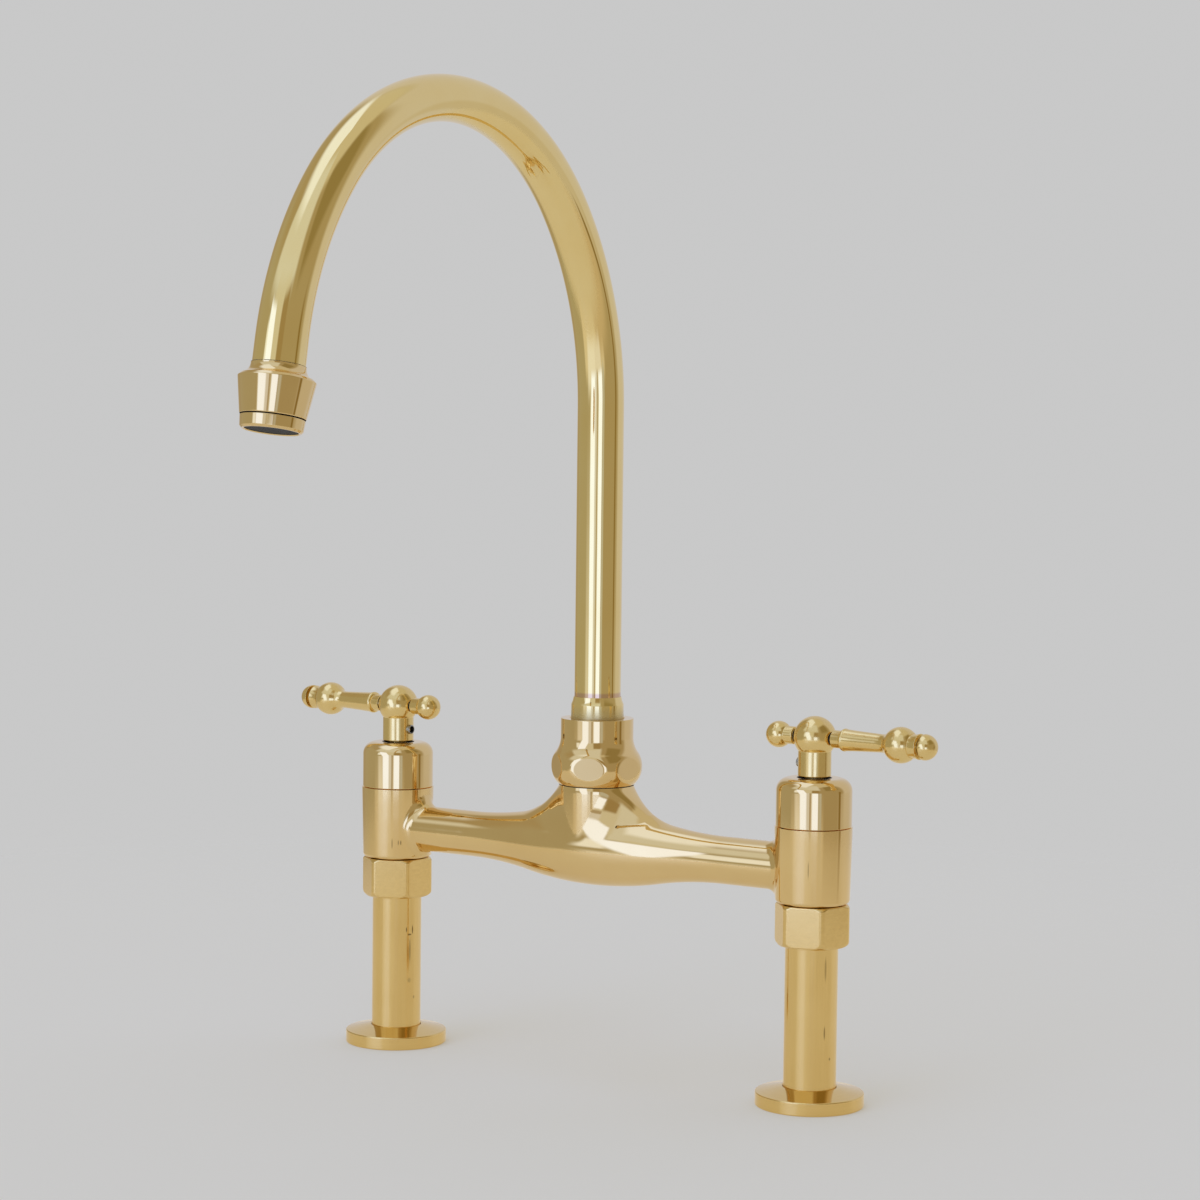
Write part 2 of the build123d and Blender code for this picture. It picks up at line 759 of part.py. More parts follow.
def gooseneck_path():
    """Riser, three-centred arch and short straight tail, in the plane of the spout."""
    riser = Line((0, tube_base), (0, arch_base))
    rise = JernArc(riser @ 1, riser % 1, arch_side_radius, -arch_side_turn)
    crown = JernArc(rise @ 1, rise % 1, arch_top_radius, -arch_top_turn)
    fall = JernArc(crown @ 1, crown % 1, arch_side_radius, -arch_end_turn)
    tail = Line(fall @ 1, (fall @ 1) + (fall % 1) * (tube_tail_length + outlet_socket_depth))
    spout_plane = Plane(origin=(0, 0, 0), x_dir=(0, -1, 0), z_dir=(-1, 0, 0))
    return spout_plane * (Curve() + [riser, rise, crown, fall, tail])


def spout_tube():
    """The bent tube."""
    section = Plane.XY.offset(tube_base) * (Circle(tube_radius) - Circle(tube_radius - tube_wall))
    return sweep(section, path=gooseneck_path().wire())


def outlet_frame():
    """Frame whose +Z runs out of the spout from the braze line."""
    path = gooseneck_path().wire()
    direction = path % 1
    origin = (path @ 1) - direction * outlet_socket_depth
    return Plane(origin=origin, x_dir=(1, 0, 0), z_dir=direction).location


def outlet_collar():
    """Brazed collar: lip, hollow cove, sharp shoulder and tapered skirt, threaded for the aerator."""
    lip_radius = tube_socket_radius + outlet_lip_wall
    lip_end = (lip_radius, outlet_lip_length)
    cove_end = (outlet_cove_radius, outlet_cove_reach)
    edge_break = outlet_shoulder_break
    shoulder_start = (outlet_shoulder_radius - edge_break, outlet_shoulder_reach - edge_break)
    shoulder = (outlet_shoulder_radius, outlet_shoulder_reach)
    tube_bore = tube_radius - tube_wall
    return turned(Curve() + [
        Line((tube_socket_radius, 0), (lip_radius, 0)),
        Line((lip_radius, 0), lip_end),
        TangentArc(lip_end, cove_end, tangent=(0, 1)),
        Line(cove_end, shoulder_start),
        Line(shoulder_start, shoulder),
        Line(shoulder, (outlet_foot_radius, outlet_length)),
        Line((outlet_foot_radius, outlet_length), (outlet_thread_radius, outlet_length)),
        Line((outlet_thread_radius, outlet_length), (outlet_thread_radius, outlet_thread_reach)),
        Line((outlet_thread_radius, outlet_thread_reach), (tube_bore, outlet_thread_reach)),
        Line((tube_bore, outlet_thread_reach), (tube_bore, outlet_socket_depth)),
        Line((tube_bore, outlet_socket_depth), (tube_socket_radius, outlet_socket_depth)),
        Line((tube_socket_radius, outlet_socket_depth), (tube_socket_radius, 0)),
    ])


def aerator_washer():
    """Rubber washer at the bottom of the collar's thread."""
    end = outlet_thread_reach + aerator_washer_thickness
    return ring(aerator_washer_bore, aerator_thread_radius, outlet_thread_reach, end)


def aerator_ring():
    """Screw-in ring that holds the insert."""
    thread_start = outlet_thread_reach + aerator_washer_thickness
    flange_start = outlet_length + open_joint
    mouth = flange_start + aerator_ring_height
    mouth_radius = aerator_ring_radius - aerator_ring_taper
    blank = turned(corners(
        (aerator_bore, thread_start),
        (aerator_thread_radius, thread_start),
        (aerator_thread_radius, flange_start),
        (aerator_ring_radius, flange_start),
        (mouth_radius, mouth),
        (aerator_bore, mouth),
    ))
    rim = blank.edges().filter_by(GeomType.CIRCLE).group_by(Axis.Z)[-1].sort_by(SortBy.RADIUS)[-1]
    return fillet(rim, aerator_ring_round)


def aerator_insert():
    """Moulded insert with ring-shaped grooves in its outer face."""
    face = outlet_length + open_joint + aerator_ring_height - aerator_insert_set_back
    insert = drill(aerator_insert_radius, aerator_insert_reach, face)
    for radius in aerator_groove_radii:
        insert -= ring(radius, radius + aerator_groove_width, face - aerator_groove_depth, face)
    return insert


# ---------------------------------------------------------------- assembly

def pillar_nodes(side):
    """Every piece of one valve pillar, placed."""
    at_pillar = Pos(side_sign[side] * pillar_x, 0, 0)
    turned_handle = at_pillar * Rot(0, 0, handle_turn[side])
    return {
        f"{side}_leg": at_pillar * leg(),
        f"{side}_leg_washer": at_pillar * leg_washer(),
        f"{side}_base_flange": at_pillar * base_flange(),
        f"{side}_union_nut": at_pillar * union_nut(union_nut_turn[side]),
        f"{side}_cartridge_body": at_pillar * cartridge_body(),
        f"{side}_cartridge_seal": at_pillar * cartridge_seal(),
        f"{side}_seat_ring": at_pillar * seat_ring(),
        f"{side}_fixed_disc": at_pillar * disc(fixed_disc_base, 0),
        f"{side}_bonnet": at_pillar * bonnet(),
        f"{side}_moving_disc": at_pillar * moving_disc(),
        f"{side}_spindle": at_pillar * spindle(),
        f"{side}_handle_hub": turned_handle * handle_hub(),
        f"{side}_grub_screw": turned_handle * grub_screw(),
        f"{side}_lever_bar": turned_handle * lever_bar(),
        f"{side}_lever_finial": turned_handle * lever_finial(),
        f"{side}_stub_knob": turned_handle * stub_knob(),
    }


def spout_nodes():
    """The spout, its nut and its rings."""
    outlet = outlet_frame()
    return {
        "spout_nut": spout_nut(),
        "spout_nut_washer": spout_nut_washer(),
        "lower_slip_ring": lower_slip_ring(),
        "upper_slip_ring": upper_slip_ring(),
        "spout_tail": spout_tail(),
        "spout_seals": Compound(children=spout_seals()),
        "spout_tube": spout_tube(),
        "outlet_collar": outlet * outlet_collar(),
        "aerator_washer": outlet * aerator_washer(),
        "aerator_ring": outlet * aerator_ring(),
        "aerator_insert": outlet * aerator_insert(),
    }


def main():
    nodes = {"bridge_body": bridge_body()}
    nodes.update(spout_nodes())
    for side in side_sign:
        nodes.update(pillar_nodes(side))
    os.makedirs("parts", exist_ok=True)
    for name, piece in nodes.items():
        export_step(piece, f"parts/{name}.step")
    print(f"wrote {len(nodes)} nodes")


main()
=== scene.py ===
# %% [markdown]
# # A polished brass bridge faucet
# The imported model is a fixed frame: every piece already stands at its real size and place.
# This script gives it its looks. A mirror polish shows every facet, so the pieces that are seen
# get dense, smooth skins that are worked out from the frame's own sizes, and the hidden ones keep
# their solids and only get a finish.

# %% Load the frame
import json
from math import acos, asin, atan2, ceil, cos, degrees, hypot, pi, radians, sin, sqrt, tan

import bmesh
import bpy
import numpy as np
from mathutils import Matrix, Vector


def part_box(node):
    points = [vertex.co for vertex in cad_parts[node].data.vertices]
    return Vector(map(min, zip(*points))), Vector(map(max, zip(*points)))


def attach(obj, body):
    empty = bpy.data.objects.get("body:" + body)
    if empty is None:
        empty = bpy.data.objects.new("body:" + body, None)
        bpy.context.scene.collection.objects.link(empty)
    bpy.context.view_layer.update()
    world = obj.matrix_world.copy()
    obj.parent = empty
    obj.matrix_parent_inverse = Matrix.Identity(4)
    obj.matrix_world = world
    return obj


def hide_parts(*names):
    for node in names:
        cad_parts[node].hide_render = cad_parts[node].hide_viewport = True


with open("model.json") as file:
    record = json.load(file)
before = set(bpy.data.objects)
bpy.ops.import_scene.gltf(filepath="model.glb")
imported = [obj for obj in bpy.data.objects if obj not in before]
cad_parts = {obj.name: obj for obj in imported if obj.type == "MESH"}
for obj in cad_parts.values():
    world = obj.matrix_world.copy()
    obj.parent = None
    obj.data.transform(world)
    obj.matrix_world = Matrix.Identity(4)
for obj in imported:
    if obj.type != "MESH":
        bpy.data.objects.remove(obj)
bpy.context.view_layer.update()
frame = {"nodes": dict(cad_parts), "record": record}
MM = 0.001
SIDES = ("left", "right")
print("nodes in the frame:", len(frame["nodes"]))

# %% [markdown]
# ## Reading sizes from the frame
# A turned piece is known by three numbers: its radius, its lowest and its highest point. They are
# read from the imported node's box, in millimetres, so a skin can't drift away from its solid.


# %% Sizes of the solids
def low_mm(node):
    """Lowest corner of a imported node, in millimetres."""
    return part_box(node)[0] / MM


def high_mm(node):
    """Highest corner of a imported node, in millimetres."""
    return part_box(node)[1] / MM


def centre_x(node):
    """Where an upright turned node stands along the bridge."""
    return (low_mm(node).x + high_mm(node).x) / 2


def radius_mm(node):
    """Largest radius of an upright turned node."""
    return (high_mm(node).x - low_mm(node).x) / 2


pillar_x = {side: centre_x(f"{side}_bonnet") for side in SIDES}
print("valve pillars at", {side: round(x, 2) for side, x in pillar_x.items()})

# %% [markdown]
# ## Camera
# A long lens about 1.2 m away, a little above the middle of the faucet, and turned 33 degrees from the
# front. The numbers come from fitting the two flanges, the bridge and the riser to the photograph.

# %% Camera
camera_turn = radians(33.04)
camera_distance = 1201.3
camera_height = 269.6
camera_pitch = radians(3.573)
camera_pan = -0.00047
camera_roll = radians(0.664)
lens_pixels = 2947.2
image_pixels = 1200
sensor_mm = 36.0


def camera_axes():
    """Right, up and forward of the camera."""
    turn = camera_turn + camera_pan
    forward = Vector((-sin(turn) * cos(camera_pitch), cos(turn) * cos(camera_pitch), -sin(camera_pitch)))
    level_right = Vector((cos(turn), sin(turn), 0))
    level_up = level_right.cross(forward)
    right = cos(camera_roll) * level_right + sin(camera_roll) * level_up
    up = cos(camera_roll) * level_up - sin(camera_roll) * level_right
    return right, up, forward


def make_camera():
    right, up, forward = camera_axes()
    data = bpy.data.cameras.new("photo_camera")
    data.sensor_width = sensor_mm
    data.sensor_fit = "HORIZONTAL"
    data.lens = lens_pixels / image_pixels * sensor_mm
    data.clip_start = 0.01
    data.clip_end = 20
    camera = bpy.data.objects.new("photo_camera", data)
    place = Matrix((right, up, -forward)).transposed().to_4x4()
    place.translation = Vector((camera_distance * sin(camera_turn), -camera_distance * cos(camera_turn),
                                camera_height)) * MM
    camera.matrix_world = place
    bpy.context.scene.collection.objects.link(camera)
    bpy.context.scene.camera = camera
    return camera


camera = make_camera()
print("lens", round(camera.data.lens, 1), "mm")

# %% [markdown]
# ## A few helpers for materials
# Colours are written as the sRGB hex values that a picture editor shows. Shaders want linear values, so
# one function turns them. `add` makes a node, and fills each of its inputs with a link or a plain value.
# The other helpers are short forms of it for what is used again and again.


# %% Colour and node helpers
def linear(hex_colour):
    """sRGB hex to a linear RGBA tuple."""
    values = [int(hex_colour[i:i + 2], 16) / 255 for i in (1, 3, 5)]
    flat = [v / 12.92 if v <= 0.04045 else ((v + 0.055) / 1.055) ** 2.4 for v in values]
    return (*flat, 1.0)


def plug(tree, node, sockets):
    """Fill a node's inputs: a socket is linked, and anything else is a plain value."""
    for key, source in sockets.items():
        if isinstance(source, bpy.types.NodeSocket):
            tree.links.new(source, node.inputs[key])
        else:
            node.inputs[key].default_value = source


def add(tree, kind, sockets=None, **settings):
    """Add a node. settings are its properties or its inputs by name, and sockets go to plug."""
    node = tree.nodes.new(kind)
    for key, value in settings.items():
        if hasattr(node, key):
            setattr(node, key, value)
        else:
            node.inputs[key.replace("_", " ")].default_value = value
    plug(tree, node, sockets or {})
    return node


def maths(tree, operation, *values):
    """One step of arithmetic on numbers."""
    return add(tree, "ShaderNodeMath", dict(enumerate(values)), operation=operation).outputs[0]


def vector_maths(tree, operation, *values):
    """One step of arithmetic on vectors. A length, distance or dot product is a number."""
    node = add(tree, "ShaderNodeVectorMath", dict(enumerate(values)), operation=operation)
    return node.outputs["Value" if operation in ("LENGTH", "DISTANCE", "DOT_PRODUCT") else "Vector"]


def mix(tree, share, one, two, kind="RGBA"):
    """A mix of two colours, or of two numbers where kind is FLOAT."""
    first, result = (6, 2) if kind == "RGBA" else (2, 0)
    node = add(tree, "ShaderNodeMix", {0: share, first: one, first + 1: two}, data_type=kind)
    return node.outputs[result]


def ramp(tree, value, low, high, start, end, kind="SMOOTHSTEP"):
    """Take a value from low..high to start..end, and hold it at the ends."""
    span = {"Value": value, "From Min": low, "From Max": high, "To Min": start, "To Max": end}
    return add(tree, "ShaderNodeMapRange", span, interpolation_type=kind).outputs[0]


def noise(tree, place, size_mm, **settings):
    """Noise from 0 to 1, whose largest features are about size_mm across."""
    node = add(tree, "ShaderNodeTexNoise", {"Vector": place}, Scale=1 / (size_mm * MM), **settings)
    return node.outputs["Fac"]


def raise_surface(tree, shader, pattern, height_mm):
    """Bump a surface by a pattern, up to height_mm."""
    bump = add(tree, "ShaderNodeBump", {"Height": pattern}, Strength=1.0, Distance=height_mm * MM)
    plug(tree, shader, {"Normal": bump.outputs[0]})


def new_material(name):
    """An empty node material: gives it, its tree, its Principled shader and object coordinates."""
    material = bpy.data.materials.new(name)
    material.use_nodes = True
    tree = material.node_tree
    tree.nodes.clear()
    shader = add(tree, "ShaderNodeBsdfPrincipled")
    add(tree, "ShaderNodeOutputMaterial", {"Surface": shader.outputs["BSDF"]})
    return material, tree, shader, add(tree, "ShaderNodeTexCoord").outputs["Object"]


print("polished brass, linear:", [round(v, 3) for v in linear("#F1D59A")[:3]])

# %% [markdown]
# ## Studio
# Polished metal has hardly any look of its own: it shows the room. So the room is built first, as the
# world's light. It is a list of soft-edged panels, each with the direction of its middle, its half width
# and half height in degrees, and its brightness in red, green and blue, where 1 is white. A later panel
# covers an earlier one. Daylight from the windows and the ceiling is cooler than the light from the
# walls. Only reflections and light come from the room: the camera itself sees an even pale background.

# %% One soft panel of the room
panel_numbers = ("Turn", "Rise", "Middle Turn", "Half Width", "Middle Rise", "Half Height", "Softness",
                 "Lean")


def soft_panel_group():
    """A shader group that lays a soft-edged panel of one colour over what is under it."""
    group = bpy.data.node_groups.new("soft_panel", "ShaderNodeTree")
    face = group.interface
    for name in ("Under", "Panel"):
        face.new_socket(name, in_out="INPUT", socket_type="NodeSocketColor")
    for name in panel_numbers:
        face.new_socket(name, in_out="INPUT", socket_type="NodeSocketFloat")
    face.new_socket("Room", in_out="OUTPUT", socket_type="NodeSocketColor")
    given = add(group, "NodeGroupInput").outputs
    leaning = maths(group, "MULTIPLY_ADD", given["Rise"], given["Lean"], given["Turn"])
    masks = []
    for here, middle, half in ((leaning, "Middle Turn", "Half Width"),
                               (given["Rise"], "Middle Rise", "Half Height")):
        away = maths(group, "SUBTRACT", here, given[middle])
        apart = maths(group, "ABSOLUTE", maths(group, "WRAP", away, 180.0, -180.0))
        inner = maths(group, "SUBTRACT", given[half], given["Softness"])
        outer = maths(group, "ADD", given[half], given["Softness"])
        masks.append(ramp(group, apart, inner, outer, 1.0, 0.0))
    both = maths(group, "MULTIPLY", *masks)
    add(group, "NodeGroupOutput", {0: mix(group, both, given["Under"], given["Panel"])})
    return group


# %% The room
background_level = 0.582
wall_light = (0.41, 0.36, 0.255)
# name, turn of the middle, half width, rise of the middle, half height, softness, lean, light
room_panels = (
    ("left wall", -150, 38, 0, 34, 8, 0, (0.43, 0.41, 0.33)),
    ("back wall", 92, 54, -15, 76, 8, 0, (0.62, 0.62, 0.67)),
    ("white sheet in front", -83, 50, -55, 47, 4, 0, (0.71, 0.685, 0.64)),
    ("white sheet at the right", -5, 60, -70, 56, 6, 0, (0.57, 0.50, 0.40)),
    ("white sheet behind at the right", 45, 28, -48, 42, 5, 0, (0.58, 0.56, 0.54)),
    ("ceiling", 0, 181, 90, 32, 5, 0, (0.61, 0.60, 0.55)),
    ("ceiling towards the windows", -92, 50, 52, 22, 6, 0, (0.70, 0.77, 0.92)),
    ("ceiling lit by the left window", -160, 64, 90, 35, 7, 0, (0.94, 1.10, 1.60)),
    ("open casement", -118, 6, 14, 9, 3, 0, (0.95, 1.10, 1.55)),
    ("glow under the left window", -104, 20, -13, 9, 5, 0.5, (0.85, 0.91, 1.12)),
    ("glow under the low window", -65, 14, -12, 9, 4, 0, (0.79, 0.83, 1.00)),
    ("dark edge of the back wall", 22, 4, -5, 14, 2.5, 0, (0.26, 0.19, 0.07)),
    ("dark beam at the right", 0, 24, 43, 17, 5, 0, (0.30, 0.25, 0.13)),
    ("curtain beside the window", -82, 28, 16, 20, 4, 0, (0.665, 0.70, 0.745)),
    ("left window", -94, 13, 9.5, 19.5, 2.2, 0.5, (1.10, 1.36, 2.35)),
    ("left window's curtain", -79, 5, -1, 9, 3, 0, (0.72, 0.79, 1.05)),
    ("window post", -72.5, 2.5, -2, 9, 1.2, 0, (0.45, 0.41, 0.36)),
    ("dark door behind the camera", -57, 11, 19, 12, 3, 0, (0.36, 0.29, 0.17)),
    ("low window", -58, 9, -2.5, 7.5, 1.8, 0, (1.10, 1.36, 2.35)),
    ("sill of the low window", -43, 4, -3, 8, 2.5, 0, (0.54, 0.59, 0.69)),
)


def make_world():
    world = bpy.data.worlds.new("pale_studio")
    bpy.context.scene.world = world
    world.use_nodes = True
    tree = world.node_tree
    tree.nodes.clear()
    direction = add(tree, "ShaderNodeTexCoord").outputs["Generated"]
    part = add(tree, "ShaderNodeSeparateXYZ", {0: direction}).outputs
    turn = maths(tree, "DEGREES", maths(tree, "ARCTAN2", part["Y"], part["X"]))
    rise = maths(tree, "DEGREES", maths(tree, "ARCSINE", part["Z"]))
    group = soft_panel_group()
    room = (*wall_light, 1)
    for name, middle_turn, half_width, middle_rise, half_height, softness, lean, light in room_panels:
        numbers = (turn, rise, middle_turn, half_width, middle_rise, half_height, softness, lean)
        sockets = {"Under": room, "Panel": (*light, 1), **dict(zip(panel_numbers, numbers))}
        room = add(tree, "ShaderNodeGroup", sockets, node_tree=group, label=name).outputs[0]
    camera_ray = add(tree, "ShaderNodeLightPath").outputs["Is Camera Ray"]
    seen = mix(tree, camera_ray, room, (background_level, background_level, background_level, 1))
    shade = add(tree, "ShaderNodeBackground", {"Color": seen}, Strength=1.0)
    add(tree, "ShaderNodeOutputWorld", {"Surface": shade.outputs[0]})


make_world()
print("the room has", len(room_panels), "panels")

# %% [markdown]
# ## Floor
# A sheet of pale matt card lies under the faucet. The room lights it, so it keeps the faucet's soft
# shadow, and its rim melts into the background. The legs mirror this card and hardly any of the room, so
# the metal's rays see it a little warmer than the camera does, with the sheen of a low angle.

# %% Floor
floor_radius = 0.85
floor_clear_radius = 0.42
floor_melted_radius = floor_radius * 0.98
floor_colour = "#CBCBC9"
floor_roughness = 0.32
# each pair is for the metal's rays and for the camera's
floor_glow = (0.275, 0.232)
floor_glow_colours = ("#FFF0CB", "#FFF9E8")
floor_sheen = (0.5, 0.0)


def make_floor():
    """A round pale sheet whose rim melts into the background."""
    mesh = bpy.data.meshes.new("floor")
    bm = bmesh.new()
    bmesh.ops.create_circle(bm, cap_ends=True, segments=96, radius=floor_radius)
    bm.to_mesh(mesh)
    bm.free()
    floor = bpy.data.objects.new("floor", mesh)
    bpy.context.scene.collection.objects.link(floor)
    material, tree, shader, place = new_material("pale_matt_card")
    camera_ray = add(tree, "ShaderNodeLightPath").outputs["Is Camera Ray"]
    plug(tree, shader, {
        "Base Color": linear(floor_colour),
        "Roughness": floor_roughness,
        "Emission Color": mix(tree, camera_ray, *map(linear, floor_glow_colours)),
        "Emission Strength": mix(tree, camera_ray, *floor_glow, kind="FLOAT"),
        "Specular IOR Level": mix(tree, camera_ray, *floor_sheen, kind="FLOAT"),
    })
    reach = vector_maths(tree, "LENGTH", place)
    fade = ramp(tree, reach, floor_clear_radius, floor_melted_radius, 0.0, 1.0)
    clear = add(tree, "ShaderNodeBsdfTransparent").outputs[0]
    melting = add(tree, "ShaderNodeMixShader", {0: fade, 1: shader.outputs[0], 2: clear}).outputs[0]
    output = next(n for n in tree.nodes if n.type == "OUTPUT_MATERIAL")
    plug(tree, output, {"Surface": melting})
    mesh.materials.append(material)


make_floor()
print("floor:", 2 * floor_radius, "m across")

# %% [markdown]
# ## Finishes
# The faucet is brass without lacquer. The castings, the spout and the handles were buffed by hand on a
# cloth wheel: a true mirror with a slow ripple of a few hundredths of a millimetre, which makes the
# reflections swim. The legs, unions and flanges were only drawn, milled and turned, so they are satin,
# with the fine lines that each tool leaves. Seams, grooves and holes get painted shade: near black and dull.

# %% Marks and painted shade
# near black, dull and not metal: painted shade for the seams, grooves, gaps and holes where light hardly
# reaches
painted_shade_colour = "#0B0A07"
scratch_colour = "#5A4318"
scratch_core = 0.4              # the share of a scratch that is full strength

# side, turn about the pillar in degrees, radius, height, half width, half height (mm), strength
leg_marks = (
    ("left", -29.9, 10.45, 49.7, 0.35, 1.4, 0.8), ("left", -13.3, 10.45, 49.5, 0.4, 2.4, 0.85),
    ("left", -21.8, 10.45, 47.5, 1.3, 0.5, 0.75), ("left", -20.5, 10.45, 40.7, 0.5, 7.0, 0.5),
    ("left", -8.1, 10.45, 20.3, 0.6, 0.9, 0.4), ("left", -22.0, 10.45, 27.8, 1.1, 1.4, 0.25),
    ("right", -29.1, 10.45, 55.4, 0.6, 6.0, 0.4), ("right", -29.5, 10.45, 30.3, 0.5, 3.4, 0.55),
    ("right", -14.2, 10.45, 19.8, 0.6, 0.8, 0.5),
)
body_marks = (
    ("left", -62.0, 14.8, 87.4, 0.3, 3.0, 0.55), ("left", -47.7, 14.8, 87.8, 0.4, 1.3, 0.6),
    ("left", -51.7, 14.8, 87.8, 0.35, 1.4, 0.5), ("right", -68.1, 15.0, 95.0, 0.3, 4.8, 0.45),
)


def scratched(tree, place, colour, marks):
    """Lay small dark scratches and pits over a colour: each is an ellipsoid round a point."""
    for side, turn, radius, height, half_width, half_height, strength in marks:
        middle = Vector((pillar_x[side] + radius * cos(radians(turn)), radius * sin(radians(turn)), height))
        away = vector_maths(tree, "SUBTRACT", place, middle * MM)
        scaled = vector_maths(tree, "DIVIDE", away, Vector((half_width, half_width, half_height)) * MM)
        reach = vector_maths(tree, "LENGTH", scaled)
        near = ramp(tree, reach, scratch_core, 1.0, strength, 0.0)
        colour = mix(tree, near, colour, linear(scratch_colour))
    return colour


def with_painted_shade(tree, shader, colour, rough):
    """Metal that is painted near black and dull where its mesh is marked: painted shade in seams and holes.
    """
    marked = add(tree, "ShaderNodeAttribute", attribute_name="painted_shade").outputs["Fac"]
    plug(tree, shader, {
        "Base Color": mix(tree, marked, colour, linear(painted_shade_colour)),
        "Roughness": maths(tree, "MAXIMUM", marked, rough),
        "Metallic": maths(tree, "SUBTRACT", 1.0, marked),
    })


def mark_painted_shade(piece, place, low, high, inside):
    """Mark the vertices for painted shade: those between two heights and within a radius, seen along the
    piece's own axis.
    """
    back = place.inverted()
    layer = piece.data.attributes.get("painted_shade") or piece.data.attributes.new("painted_shade", "FLOAT", "POINT")
    for vertex, cell in zip(piece.data.vertices, layer.data):
        here = back @ (vertex.co / MM)
        if low < here.z < high and hypot(here.x, here.y) < inside:
            cell.value = 1.0


print("marks on the legs and bodies:", len(leg_marks) + len(body_marks))

# %% Three kinds of finish
ripple_mm = 22.0
buffing_mm = 2.5
draw_line_mm = 0.9
satin_cloud_mm = 14.0
noise_span = (0.3, 0.7)         # where most of a noise's values lie
stain_strength = 0.6
satin_colour = "#EED08D"
satin_deep_colour = "#DDB870"


def polished_brass(name, light_colour, deep_colour, smooth, rough_to, ripple_height_mm, stains=(), marks=()):
    """Buffed brass: mirror-like, with a slow ripple and a little cloudy unevenness.

    stains are (point, full reach, end, colour), in mm: what a torch leaves round a brazed joint."""
    material, tree, shader, place = new_material(name)
    cloud = noise(tree, place, ripple_mm, Detail=3.0)
    colour = mix(tree, cloud, linear(light_colour), linear(deep_colour))
    for point, reach, end, stain in stains:
        away = vector_maths(tree, "DISTANCE", place, Vector(point) * MM)
        near = ramp(tree, away, reach * MM, end * MM, stain_strength, 0.0)
        colour = mix(tree, near, colour, linear(stain))
    haze = noise(tree, place, buffing_mm, Detail=4.0)
    rough = ramp(tree, haze, *noise_span, smooth, rough_to, "LINEAR")
    raise_surface(tree, shader, noise(tree, place, ripple_mm, Detail=1.0), ripple_height_mm)
    with_painted_shade(tree, shader, scratched(tree, place, colour, marks), rough)
    return material


def satin_brass(name, stretch, smooth, rough_to, line_height_mm, marks=()):
    """Drawn or turned brass: blurred reflections and fine lines left by the tool.

    stretch scales the pattern along X, Y and Z: a small number draws the lines out along that axis.
    Without it the lines run in circles round the two legs."""
    material, tree, shader, place = new_material(name)
    if stretch:
        where = add(tree, "ShaderNodeMapping", {"Vector": place, "Scale": stretch}).outputs[0]
    else:
        part = add(tree, "ShaderNodeSeparateXYZ", {0: place}).outputs
        beside = maths(tree, "SUBTRACT", maths(tree, "ABSOLUTE", part["X"]), pillar_x["right"] * MM)
        flat = add(tree, "ShaderNodeCombineXYZ", {0: beside, 1: part["Y"]}).outputs[0]
        out = vector_maths(tree, "LENGTH", flat)
        where = add(tree, "ShaderNodeCombineXYZ", {0: out, 2: part["Z"]}).outputs[0]
    lines = noise(tree, where, draw_line_mm, Detail=5.0, Roughness=0.6)
    tint = maths(tree, "MULTIPLY", lines, noise(tree, place, satin_cloud_mm, Detail=4.0))
    colour = mix(tree, tint, linear(satin_colour), linear(satin_deep_colour))
    rough = ramp(tree, lines, *noise_span, smooth, rough_to, "LINEAR")
    raise_surface(tree, shader, lines, line_height_mm)
    with_painted_shade(tree, shader, scratched(tree, place, colour, marks), rough)
    return material


def plain_finish(name, colour, colour_two, grain_mm, metal, roughness, grain_height_mm, gloss=0.5):
    """A quiet two-tone grain for small or hidden pieces."""
    material, tree, shader, place = new_material(name)
    grain = noise(tree, place, grain_mm, Detail=4.0)
    mixed = mix(tree, grain, linear(colour), linear(colour_two))
    raise_surface(tree, shader, grain, grain_height_mm)
    if metal:
        with_painted_shade(tree, shader, mixed, roughness)
    else:
        plug(tree, shader, {"Base Color": mixed, "Roughness": roughness, "Specular IOR Level": gloss})
    return material


# %% Materials
torch_stain = ((0, 0, high_mm("spout_tail").z), 9.58, 9.78, "#C79C94")

# drawn tube, buffed to a mirror, with the torch's stain where it enters its sleeve
tube_finish = polished_brass("buffed_brass_tube", "#F6E0A2", "#F2D690", 0.03, 0.06, 0.05, [torch_stain])
# sand casting, linished and buffed: its ripple is the deepest
mirror = polished_brass("buffed_cast_brass", "#F1D59A", "#E9C98C", 0.03, 0.06, 0.11, marks=body_marks)
# bar stock off the lathe, buffed: nearly flat
turned_mirror = polished_brass("buffed_turned_brass", "#F1D69C", "#E9CA8E", 0.03, 0.06, 0.04)
# small turnings of the handles, which the wheel leaves softer
soft_mirror = polished_brass("softly_buffed_brass", "#F2D896", "#E8C984", 0.11, 0.18, 0.04)
# legs as the drawing die left them, with the dents and scratches of handling
drawn = satin_brass("drawn_brass_tube", (1, 1, 0.03), 0.09, 0.15, 0.002, leg_marks)
# milled flats of the union nuts
milled = satin_brass("milled_brass", (0.4, 0.4, 1), 0.13, 0.18, 0.0004)
# flanges with the lathe's rings
turned = satin_brass("turned_brass", None, 0.08, 0.13, 0.0012)
